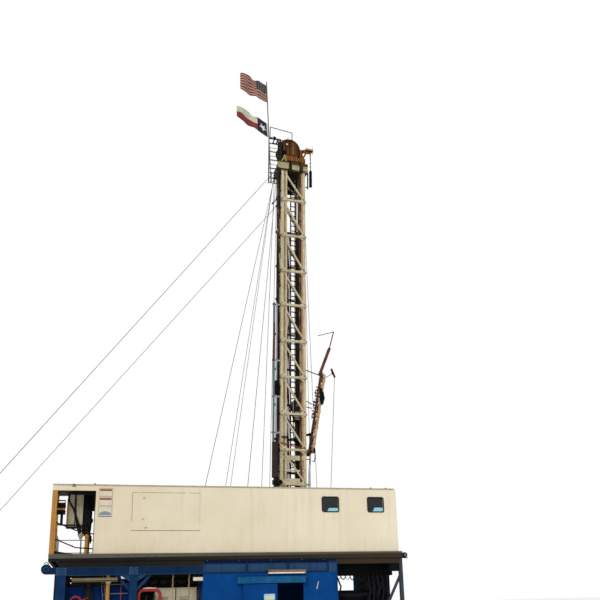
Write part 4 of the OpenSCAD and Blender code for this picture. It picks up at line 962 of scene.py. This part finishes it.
p = Piece("light_fittings", light_mat, lamp_glass, black)
l0, l1 = low("door_light"), high("door_light")
p.tube([(l0.x + 0.05, l0.y - 0.006, l0.z + 0.03), (l1.x - 0.05, l0.y - 0.006, l0.z + 0.03)], 0.022, 12, 1)
p.boxes(2, (l0.x - 0.035, l0.x + 0.02, l0.y - 0.02, FRONT, l0.z + 0.04, l1.z - 0.01),
        (l0.x, l0.x + 0.14, l0.y - 0.006, l0.y, l0.z + 0.1, l1.z - 0.004))
p.boxes(0, (*mid(l1.x, 0.012), l0.y - 0.012, FRONT, l0.z, l1.z),
        (l0.x, l1.x, l0.y - 0.012, l0.y + 0.01, l1.z - 0.02, l1.z + 0.004))
p.done(bevel=0.002)

# Right bay: a black sheet and black blocks that paint the shade below the deck, with dark machinery and hoses in front
p = Piece("right_bay_machine", black, dark, rubber, maroon, place=front)
p.boxes(0, (CAB1 + 0.06, 6.72, 0.55, 0.60, 2.42, EDGE - 0.001), (5.55, 6.60, 0.6, 1.5, SKID, 2.45),
        (CAB1 + 0.06, 5.6, 0.9, 1.5, SKID, 1.86), (6.44, 6.79, -0.012, 0, GIRDER - 0.02, EDGE - 0.19))
for k in range(5):
    x = 5.62 + 0.2 * k
    at = (x, 0.52, 2.0 - 0.18 * (k % 3))
    p.lathe([(-0.2, 0.05), (-0.16, 0.11), (0.16, 0.12), (0.2, 0.05)], at, (0.2, 0.1, 1), 14)
    p.tube([(x, 0.5, 2.45), (x + 0.05, 0.42, 1.9), (x - 0.04, 0.46, 1.2), (x, 0.5, SKID)], 0.03, 8, 2)
random.seed(5)
for k in range(12):
    a, b = (4.25 + 0.2 * k, 0.54, 2.44), (4.5 + 0.19 * k, 0.54, 2.44)
    p.tube(sag(a, b, 0.05 + 0.14 * random.random(), 10), 0.012 + 0.01 * (k % 2), 6, 2)
p.tube([(4.28, 0.5, 2.43), (4.45, 0.5, 2.0), (4.34, 0.5, 1.6), (4.40, 0.6, SKID)], 0.035, 8, 2)
for z, r in ((1.72, 0.03), (1.66, 0.022)):
    p.tube([(CAB1 + 0.06, 0.6, z), (5.0, 0.52, z - 0.04), (5.7, 0.6, z)], r, 8, 2)
p.done(bevel=0.003)

# Mast joints: gussets, end caps and bolts
NEAR_GIRTS = (3.7, 5.15, 6.93, 8.64, 10.46, 12.38, 14.32, 16.31, 18.24, 20.3, 22.44)
FAR_GIRTS = tuple(z + 0.72 for z in NEAR_GIRTS)
NEAR_Y, FAR_Y, GIRT_OUT = 1.70, 2.80, 0.06
SIDE, FAR_IN = 0.665, 2.751  # where the mast's sides and the inside of its far face lie
GUSSET = ((SIDE, 0.19), (0.535, 0.19), (0.30, 0.055), (0.30, -0.055), (0.535, -0.19), (SIDE, -0.19))
p = Piece("mast_joints", cream, dark, bare, place=mast)
for zs, out, leg_y in ((NEAR_GIRTS, -1, NEAR_Y), (FAR_GIRTS, 1, FAR_Y)):
    face = leg_y + out * GIRT_OUT
    for z in zs:
        for s in (-1, 1):
            x0 = s * 0.69
            p.box(*sorted((x0, x0 + s * 0.012)), *sorted((face, face - out * 0.11)), *mid(z, 0.058), 1)
            p.plate([(s * x, leg_y, z + dz) for x, dz in GUSSET][::out], (0, out * 0.01, 0))
            for dx in (0.57, 0.63):
                for dz in (-0.14, -0.1, 0.1, 0.14):
                    p.bolt((s * dx, leg_y + out * 0.01, z + dz), Y * out, 0.012, 0.012, 2)
            for dx in (0.59, 0.65):
                p.bolt((s * dx, face, z), Y * out, 0.013, 0.012, 2)
p.done()

# Ladder on the inside of the far face
LADDER, TRAY_TOP = (0.09, 0.40), 20.7
p = Piece("mast_ladder", dark, tray_brown, rope_dark, place=mast)
for x in LADDER:
    p.box(*mid(x, 0.03), 2.60, 2.64, MAST_FOOT, MAST_TOP - 0.02)
    p.rungs(*mid(x, 0.015), 2.64, FAR_IN, FAR_GIRTS, 0.015)
for k in range(69):
    z = DECK + 0.35 + 0.3 * k
    p.tube([(x, 2.62, z) for x in LADDER], 0.028, 6)
# Cable tray beside the ladder: a flank that faces the ladder, a back, ribs and cables
p.boxes(1, (0.43, 0.44, 2.05, 2.66, MAST_FOOT, TRAY_TOP), (0.43, 0.62, 2.66, 2.67, MAST_FOOT, TRAY_TOP))
for k in range(42):
    z = DECK + 0.5 + 0.4 * k
    p.box(0.41, 0.43, 2.05, 2.66, z, z + 0.03)
for k, x in enumerate((-0.10, -0.05, 0.0, 0.04)):
    cable = [(x + 0.015 * math.sin(j * 1.1 + k), 2.66, MAST_FOOT + (TRAY_TOP - DECK) * j / 40) for j in range(41)]
    p.tube(cable, 0.024 - 0.003 * k, 6, 2)
for y in (2.12, 2.2, 2.32, 2.4, 2.52):
    p.tube([(0.41, y, MAST_FOOT), (0.405, y + 0.01, TRAY_TOP / 2), (0.41, y, TRAY_TOP - 0.1)], 0.02)
p.rungs(0.48, 0.56, 2.67, FAR_IN, FAR_GIRTS[:-1], 0.02)
p.rungs(-0.12, 0.06, 2.68, FAR_IN, FAR_GIRTS[:-1], 0.02)
p.done()

# Plate that closes the gap between the two legs of the right corner
p = Piece("leg_plates", leg_tan, place=mast)
p.box(0.44, 0.57, 1.735, 1.745, MAST_FOOT, 24.2)
p.done()

p = Piece("mast_top_plate", vessel, dark, place=mast)
p.box(-0.30, 0.67, 2.838, 2.873, 23.45, MAST_TOP + 0.004)
for z in (23.5, 23.9, 24.24):
    p.box(-0.30, 0.67, 2.873, 2.893, z, z + 0.04, 1)
p.done(bevel=0.002)

# Hoses and cables up the mast
p = Piece("mast_lines", rubber, dark, rope_dark, place=mast)
for k, (x, y, z0, z1, r) in enumerate((
    (-0.735, 1.90, MAST_FOOT, 16.0, 0.028), (-0.725, 1.965, MAST_FOOT, 14.6, 0.024),
    (-0.72, 2.03, MAST_FOOT, 23.9, 0.018), (-0.72, 2.10, MAST_FOOT, 20.2, 0.022),
    (-0.71, 2.42, MAST_FOOT, 20.2, 0.02), (0.60, 2.634, MAST_FOOT, 24.2, 0.016),
    (-0.79, 1.75, 21.9, 24.14, 0.028), (-0.745, 1.78, 21.6, 24.14, 0.022),
)):
    n = 40 if z1 - z0 > 5 else 10
    p.tube([(x + 0.012 * math.sin(j * 0.9 + k), y + 0.012 * math.cos(j * 0.7 + 2 * k), z0 + (z1 - z0) * j / n)
            for j in range(n + 1)], r)
p.rungs(-0.765, -SIDE, 1.87, 2.13, NEAR_GIRTS[1:], 0.02, 1)
p.rungs(-0.735, -SIDE, 2.39, 2.45, NEAR_GIRTS[1:], 0.02, 1)
p.rungs(-0.82, -SIDE, 1.72, 1.80, (21.95, 23.0, 24.05), 0.02, 1)
p.done()

# Boxes, valves and brackets on the mast
DRUM = barrel(-0.05, 0.05, 0.01, 0.04, 0.07)
p = Piece("mast_fittings", black, dark, maroon, orange, ochre_dull, rubber, place=mast)
p.box(-0.835, -0.717, 1.66, 1.80, 11.43, 11.97)
p.rungs(-0.72, -0.668, 1.71, 1.75, (11.5, 11.88), 0.02, 1)
p.tube([(-0.89, 1.76, z) for z in (11.40, 11.45, 12.1, 12.16)], [0.06, 0.075, 0.075, 0.06], 14)
p.boxes(0, (-0.61, -0.27, 1.64, 1.70, 9.23, 9.29), (0.66, 0.90, 1.66, 1.76, 9.38, 9.48))
p.bar((-0.664, 1.668, 8.975), (0.821, 1.668, 8.63), 0.05, 0.05, 3)
p.lathe(DRUM, (0.84, 1.71, 9.48), Z, 14)
for dx in (0, 0.05):
    p.tube([(x - dx, y, z) for x, y, z in (
        (0.88, 1.70, 9.42), (0.93, 1.70, 8.9), (0.896, 1.70, 8.5), (0.83, 1.70, 7.5), (0.80, 1.70, 6.0),
        (0.79, 1.70, 4.4), (0.78, 1.72, MAST_FOOT),
    )], 0.016, 8, 5)
p.rungs(0.66, 0.86, 1.70, 1.74, (8.2, 6.93, 5.15), 0.02, 1)
# Valves at the vessel
for x, r in ((-0.93, 0.15), (-0.70, 0.12)):
    p.lathe(barrel(-0.05, 0.05, 0.01, r * 0.6, r), (x, 1.64, 7.0), Y, 20, 1)
    p.lathe([(-0.10, 0.02), (-0.10, 0.07), (-0.085, 0.07), (-0.05, 0.03)], (x, 1.64, 7.0), Y, 16)
p.tube([(-0.93, 1.72, 7.0), (-0.68, 1.72, 7.0)], 0.05, 12, 1)
p.bar((-1.053, 1.76, 9.305), (-0.66, 1.76, 8.80), 0.04, 0.05, 1)
# Stays of the left side
p.rungs(-0.80, -0.67, 1.74, 1.78, (14.8, 17.4, 19.5), 0.03, 1)
# Short arms towards the board
p.bar((0.66, 1.82, 11.22), (1.063, 2.0, 11.10), 0.03, 0.04, 1)
p.bar((0.66, 1.82, 10.90), (1.061, 2.0, 10.895), 0.03, 0.04, 1)
# Hook that hangs from the end of the board's bracket
p.place = world
end = Vector((high("board_brackets").x, low("board_brackets").y, high("board_brackets").z))
p.box(end.x - 0.09, end.x, end.y - 0.03, end.y, end.z - 0.12, end.z + 0.08)
p.tube([end + Vector((dx - 0.03, -0.04, dz + 0.04)) for dx, dz in
        ((0, 0), (0.01, -0.16), (0, -0.48), (-0.05, -0.66), (-0.13, -0.62))], 0.026)
p.done(bevel=0.002)

# Travelling block: curved guards, links and elevator
b0, b1 = low("travelling_block"), high("travelling_block")
well_x, well_y, pin_z = (b0.x + b1.x) / 2, (b0.y + b1.y) / 2, b1.z - 0.3


def block(x, y, z):
    """World position of a point whose coordinates count from the block's pin."""
    return Vector((well_x + x, well_y + y, pin_z + z))


p = Piece("block_fittings", panel, dark, black, bare, place=block)
for y in (-0.236, -0.07, 0.07, 0.236):
    p.tube(arc((0, y, 0), 0.315, 20, 160, 14), 0.014, 8, 3)
p.lathe([(-0.012, 0.02), (-0.01, 0.09), (0, 0.095), (0.012, 0.095)], (0, -0.262, 0), Y, 20, 3)
for s in (-1, 1):
    guard = upright(-0.237, (s * 0.19, 0.25), (s * 0.235, 0.1), (s * 0.24, -0.3), (s * 0.17, -0.62))
    for a, b in zip(guard, guard[1:]):
        p.bar(a, b, 0.05, 0.02)
    p.tube(upright(0, (s * 0.155, -0.72), (s * 0.19, -0.9), (s * 0.18, -1.5), (s * 0.15, -1.78)), 0.028, 10, 1)
    p.tube(upright(0, (s * 0.12, -0.70), (s * 0.18, -0.76)), 0.04, 10, 1)
p.lathe([(0, 0.10), (0.03, 0.16), (0.16, 0.16), (0.2, 0.10)], (0, 0, -1.9), Z, 20, 2)
for k in range(4):
    p.box(-0.151, 0.151, -0.246, -0.24, -0.75 + 0.12 * k, -0.70 + 0.12 * k)
p.done("travelling_block", bevel=0.002)

# Crown: hood with its ribs and slats, and a lamp on it
HOOD_X, HOOD_Z, HOOD_R, HOOD_Y = -0.185, 25.75, 0.60, 1.855
BEAM_TOP = 24.8
p = Piece("crown_fittings", orange, black, ochre_dull, lamp_glass, crown_cream, olive, dark, slat, place=mast)
for y in (HOOD_Y - 0.004, 2.645 + 0.004):
    p.tube(arc((HOOD_X, y, HOOD_Z), HOOD_R - 0.012, -8, 188, 30), 0.022, 8, 6)
for q in arc((HOOD_X, 0, HOOD_Z), HOOD_R - 0.02, 10, 170, 8):
    p.tube([(q.x, y, q.z) for y in (HOOD_Y + 0.05, 2.60)], 0.02, 8, 6)
for k in range(10):
    dx = 0.105 * k - 0.50
    top = HOOD_Z + math.sqrt(max(0, 0.55 ** 2 - dx ** 2))
    foot = 25.32 if k else HOOD_Z
    if top - foot > 0.1:
        p.box(*mid(HOOD_X + dx, 0.026), HOOD_Y - 0.012, HOOD_Y, foot, top, (7, 6)[k % 2])
p.box(0.005, 0.05, HOOD_Y - 0.02, HOOD_Y - 0.01, 25.40, 26.16, 2)
p.boxes(1, (-0.56, -0.40, HOOD_Y - 0.012, HOOD_Y, 25.33, 25.62), (0.315, 0.40, HOOD_Y, HOOD_Y + 0.06, 25.15, 25.95))
p.box(-0.585, 0.315, HOOD_Y - 0.02, HOOD_Y, 25.29, 25.335, 6)
p.lathe([(0, 0.04), (0.05, 0.066), (0.055, 0.066)], (-0.341, HOOD_Y - 0.012, 25.99), -Y, 20, 1)
p.lathe([(0, 0.054), (0.008, 0.050), (0.018, 0.02)], (-0.341, HOOD_Y - 0.067, 25.99), -Y, 20, 3)
p.tube(upright(1.90, (-0.35, 26.30), (-0.30, 26.42), (-0.239, 26.53), (-0.20, 26.45)), 0.012, 6, 1)
# Housing in front of the hood, and its right end
p.boxes(0, (-0.39, 0.24, 1.77, HOOD_Y + 0.002, 24.95, 25.29), (0.50, 0.60, 1.79, 1.80, 24.92, 25.40))
for x in (-0.385, -0.08, 0.20):
    p.box(x, x + 0.035, 1.762, 1.77, 24.96, 25.28, 2)
p.box(-0.40, 0.25, 1.76, 1.85, 25.27, 25.30, 6)
p.box(0.24, 0.72, 1.80, 1.93, 24.90, 25.22, 5)
for x in (-0.30, 0.12, 0.40, 0.62):
    p.pole(x, 1.82, BEAM_TOP - 0.001, 24.96, 0.035, 8, 6)
for x in (-0.20, 0.35):
    p.box(*mid(x, 0.07), 1.66, 1.78, BEAM_TOP, BEAM_TOP + 0.10, 1)
    p.tube([(x, 1.635, BEAM_TOP + 0.05), (x + 0.02, 1.625, 24.55), (x + 0.02, 1.63, 24.36)], 0.035, 8, 1)
for x0, z0, x1, z1 in ((-0.675, 24.80, -0.486, 25.24), (-0.486, 25.24, -0.413, 24.80), (-0.60, 24.98, -0.44, 24.98)):
    p.bar((x0, 1.70, z0), (x1, 1.70, z1), 0.05, 0.045, 4)
# Cream plates on the near face of the crown
for x0, x1, z0, z1 in ((-0.908, -0.29, 24.33, 24.70), (-0.099, 0.331, 24.27, 24.62), (0.549, 0.815, 24.25, 24.60)):
    rim = (x0, z0 + 0.10), (x0 + 0.12, z0), (x1 - 0.05, z0), (x1, z0 + 0.06), (x1, z1), (x0 + 0.02, z1)
    p.plate(upright(1.62, *rim), (0, 0.021, 0), 4)
    for x in (x0 + 0.1, x1 - 0.08):
        p.bolt((x, 1.62, z1 - 0.07), -Y, 0.016, 0.014, 6)
p.box(-0.82, 0.82, 1.615, 1.64, 24.285, 24.325, 6)
# Arm at the right, with the lamp on the walkway and the aerial
p.plate(upright(1.845, (0.71, 25.86), (1.21, 25.86), (1.20, 25.95), (0.80, 25.985)), (0, 0.26, 0), 4)
p.box(0.74, 1.20, 1.853, 1.87, 25.79, 25.85, 1)
p.pole(1.176, 1.88, 25.59, 26.156, 0.011, 6, 4)
p.tube([(0.62, 1.90, 25.30), (0.86, 1.90, 25.83)], 0.045, 10)
p.tube([(0.50, 1.92, 25.42), (0.66, 1.92, 25.86)], 0.03, 10, 6)
p.lathe([(-0.05, 0.02), (-0.04, 0.06), (0.05, 0.075), (0.07, 0.04)], (-1.092, 1.68, 26.18), (0.5, 0, 1), 14, 1)
p.tube(upright(1.66, (-1.30, 26.16), (-1.12, 26.24), (-0.98, 26.15)), 0.018, 6, 1)
p.box(0.80, 0.86, 1.70, 1.75, 23.3, MAST_TOP, 1)
p.rungs(SIDE, 0.83, 1.71, 1.74, (23.4, 24.2), 0.02, 1)
# Dark plates of the left side of the hood
p.box(-0.80, -0.70, 1.86, 1.90, 25.0, 25.85, 6)
p.posts((-0.745, -0.60), 0.02, 1.83, 1.87, BEAM_TOP - 0.001, 25.9, 1)
p.done(bevel=0.003)

CAGE_Y = (1.69, 1.72)
p = Piece("ladder_cage", dark, place=mast)
p.posts((-1.25, -1.05), 0.015, *CAGE_Y, 23.37, 24.02)
p.rungs(-1.42, -0.84, *CAGE_Y, (23.36, 23.64, 23.98), 0.02)
p.rungs(-1.42, -0.84, *CAGE_Y, (24.28, 24.8, 25.32, 25.84), 0.012)
p.done(bevel=0.002)

# Small parts of the hanging weight, the guys and their anchors
AXIS_X, AXIS_Y = 1.065, 1.96
p = Piece("weight_fittings", black, dark, bare, place=mast)
for k in range(9):
    p.tube(arc((AXIS_X, AXIS_Y, 24.62 + 0.12 * k), 0.032, 0, 345, 12, (X, Y)[k % 2], Z * 2.2), 0.010, 6, 1)
for z in (23.62, 24.05, 24.5):
    p.lathe(barrel(0, 0.06, 0.01, 0.078, 0.088), (AXIS_X, AXIS_Y, z), Z, 18)
p.pole(AXIS_X, AXIS_Y, 24.5, 24.64, 0.05, 10, 1)
p.done()

p = Piece("guy_fittings", dark, bare)
a, b, r = Vector((3.819, 2.73, 23.036)), Vector((3.526, 2.73, 22.688)), 0.05
along = (b - a).normalized()
side = along.orthogonal().normalized() * r * 0.6
for s in (side, -side):
    p.tube([a + s, b + s], r * 0.35)
for at, axis in ((a, along), (b, -along)):
    p.lathe(barrel(0, 0.08, 0.02, r * 0.6, r), at, axis, 12)
for x, y in ((-13.28, -4.0), (-14.03, 6.0)):
    for at in arc((x, y, 0.02), 0.15, 0, 240, 2, v=Y):
        p.bolt(at, Z, 0.02, 0.02)
    p.lathe(barrel(0, 0.06, 0.01, 0.062, 0.072), (x, y, 0.2), Z, 18)
p.done()

# Racking board: fingers, ratchet straps, snatch block and hook
BOARD_LEAN = math.radians(10.4)
BOARD_Y0, BOARD_Y1 = 1.84, 2.66
HINGE = mast(1.055, 2.25, 8.62)


def board(x, y, z):
    """World position of a point in the board's own frame."""
    c, s = math.cos(BOARD_LEAN), math.sin(BOARD_LEAN)
    return Vector((HINGE.x + x * c + z * s, y, HINGE.z + z * c - x * s))


p = Piece("board_fittings", dark, black, maroon, orange, cream, place=board)
for k in range(11):
    z = 1.95 + 0.165 * k
    y = BOARD_Y1 - 0.06 - 0.05 * (k % 2)
    p.bar((-0.04, y, z), (-0.13 - 0.04 * (k % 3), y, z + 0.03), 0.05, 0.04 + 0.03 * (k % 2), k % 2)
    if k % 4 == 0:
        p.bar((-0.13, y, z - 0.06), (-0.15, y, z + 0.2), 0.03, 0.05, 1)
for k in range(5):
    z = 0.35 + 0.84 * k
    p.box(-0.10, -0.058, BOARD_Y0, BOARD_Y0 + 0.12, z, z + 0.10)
    p.box(0.058, 0.075, BOARD_Y0 - 0.004, BOARD_Y0 + 0.124, z, z + 0.16, 2)
    p.tube([(x, BOARD_Y0 + y, z + dz) for x, y, dz in ((-0.075, 0.06, 0.10), (-0.10, 0.05, 0.26), (-0.07, 0.06, 0.5))],
           0.02, 8, 1)
for k in range(4):
    z = 0.75 + 1.05 * k
    p.box(-0.061, 0.061, BOARD_Y0 - 0.006, BOARD_Y0, z, z + 0.04, 3)
# Snatch block with its hook at the right edge
p.place = world
top, bottom = Vector((5.789, 0, 11.676)), Vector((5.736, 0, 10.973))
pin = top.lerp(bottom, 0.42)
p.tube([(pin.x + dx, y, top.z + dz) for dx, y, dz in ((0.02, 1.84, 0.22), (0.03, 1.78, 0.1), (0.02, 1.76, -0.06))],
       0.025, 8, 1)
CHEEK = ((-0.06, 0.32), (0.08, 0.32), (0.13, -0.05), (0.03, -0.36), (-0.06, -0.36), (-0.13, 0))
for y in (1.70, 1.79):
    p.lathe(barrel(-0.012, 0.012, 0.002, 0.06, 0.135), (pin.x, y, pin.z), Y, 20, 1)
    p.plate([(pin.x + dx, y - 0.01, pin.z + dz) for dx, dz in CHEEK], (0, 0.02, 0), 1)
p.lathe([(-0.045, 0.10), (-0.04, 0.12), (0, 0.09), (0.04, 0.12), (0.045, 0.10)], (pin.x, 1.745, pin.z), Y)
p.box(pin.x - 0.10, pin.x + 0.04, 1.78, 1.845, top.z + 0.10, top.z + 0.26, 1)
# Hinge bosses
for y, axis in ((BOARD_Y0, -Y), (BOARD_Y1, Y)):
    p.lathe([(0, 0.075), (0.004, 0.085), (0.0075, 0.07)], (HINGE.x, y, HINGE.z), axis, 20)
# Bar across the far arm, with its lever
p.bar((6.02, 2.56, 12.575), (6.60, 2.40, 12.90), 0.03, 0.03)
p.bar((6.533, 2.40, 13.170), (6.721, 2.40, 12.708), 0.08, 0.09, 2)
p.lathe(barrel(-0.05, 0.05, 0.01, 0.03, 0.06), (6.61, 2.40, 12.95), Y, 14, 1)
p.done("racking_board", bevel=0.002)

# Line and stay between the board and the rig
p = Piece("board_line", rope_dark)
KNOT = (5.912, 1.2, 6.865)
p.tube(sag((6.70, 2.40, 12.70), KNOT, 0.05, 20) + sag(KNOT, (5.50, 0.6, DECK - 0.005), 0.02, 10)[1:], 0.012, 6)
line = p.done(None)
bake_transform(line)
p = Piece("board_stay", dark)
p.tube([(4.93, 1.715, 12.80), (5.965, 2.59, 12.815)], 0.026)
stay = p.done(None)
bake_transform(stay)


# Flags of woven cloth that fly from the pole
FLAG_Y = 1.61


def flag(name, corners, wave, mat, node_name, n=64, m=36):
    """A waving sheet between four corners (x, z): hoist top, hoist bottom, fly top, fly bottom."""
    ht, hb, ft, fb = (Vector((x, FLAG_Y, z)) for x, z in corners)
    uvs = [(i / n, j / m) for j in range(m + 1) for i in range(n + 1)]
    verts = []
    for u, v in uvs:
        amp = wave * min(1, u * 2.2)
        verts.append(tuple(hb.lerp(ht, v).lerp(fb.lerp(ft, v), u) + Vector((
            0.04 * amp * math.sin(9 * u + 2 * v),
            amp * (math.sin(11.5 * u + 1.9 * v) + 0.35 * math.sin(21 * u - 3.1 * v + 1)),
            0.24 * amp * math.sin(8.5 * u + 1.2 * v + 0.6) - 0.10 * amp * math.sin(17 * u),
        ))))
    corner = [j * (n + 1) + i for j in range(m) for i in range(n)]
    mesh = bpy.data.meshes.new(name)
    mesh.from_pydata(verts, [], [(k, k + 1, k + n + 2, k + n + 1) for k in corner])
    layer = mesh.uv_layers.new(name="UVMap")
    for loop in mesh.loops:
        layer.data[loop.index].uv = uvs[loop.vertex_index]
    mesh.polygons.foreach_set("use_smooth", [True] * len(mesh.polygons))
    mesh.materials.append(mat)
    obj = bpy.data.objects.new(name, mesh)
    bpy.context.scene.collection.objects.link(obj)
    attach(obj, "rig")
    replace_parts(obj, node_name)


def striped(c, u, v):
    """Thirteen stripes and a field of stars."""
    odd = c.more(c.math("FRACT", c.mul(v, 6.5)), 0.5)
    c.layer(c.sub(1, odd), (104, 34, 36))
    canton = c.mul(c.less(u, 0.42), c.more(v, 0.46))
    c.layer(canton, (34, 30, 44))
    uv = c.node("TexCoord").outputs["UV"]
    dots = c.node("TexVoronoi", {"Scale": 15, "Randomness": 0, "Vector": uv})
    c.layer(c.mul(c.less(dots.outputs["Distance"], 0.2), canton), (176, 160, 140))
    c.layer(c.less(u, 0.02), (196, 186, 168))


def lone_star(c, u, v):
    """A hoist field with one star, over a pale and a red band."""
    c.layer(c.less(v, 0.5), (120, 46, 44))
    c.layer(c.less(u, 0.34), (26, 28, 52))
    dx = c.mul(c.sub(u, 0.17), 2.0)
    dy = c.sub(v, 0.5)
    fifth = c.math("FRACT", c.math("ADD", c.mul(c.math("ARCTAN2", dx, dy), 5 / (2 * math.pi)), 5.5))
    radius = c.math("SQRT", c.math("ADD", c.mul(dx, dx), c.mul(dy, dy)))
    from_tip = c.sub(0.5, c.size(c.sub(fifth, 0.5)))
    rim = c.math("DIVIDE", 0.26, c.math("ADD", 1.0, c.mul(from_tip, 3.2)))
    c.layer(c.less(radius, rim), (226, 222, 212))
    c.layer(c.less(u, 0.04), (206, 198, 180))


flag("flag_striped", [(3.020, 29.491), (3.106, 28.355), (1.523, 30.112), (1.493, 28.954)],
     0.085, cloth("upper_cloth", (172, 138, 118), striped), "upper_flag")
flag("flag_star", [(3.050, 26.998), (3.125, 26.104), (1.322, 27.919), (1.294, 27.146)],
     0.075, cloth("lower_cloth", (194, 186, 166), lone_star), "lower_flag")
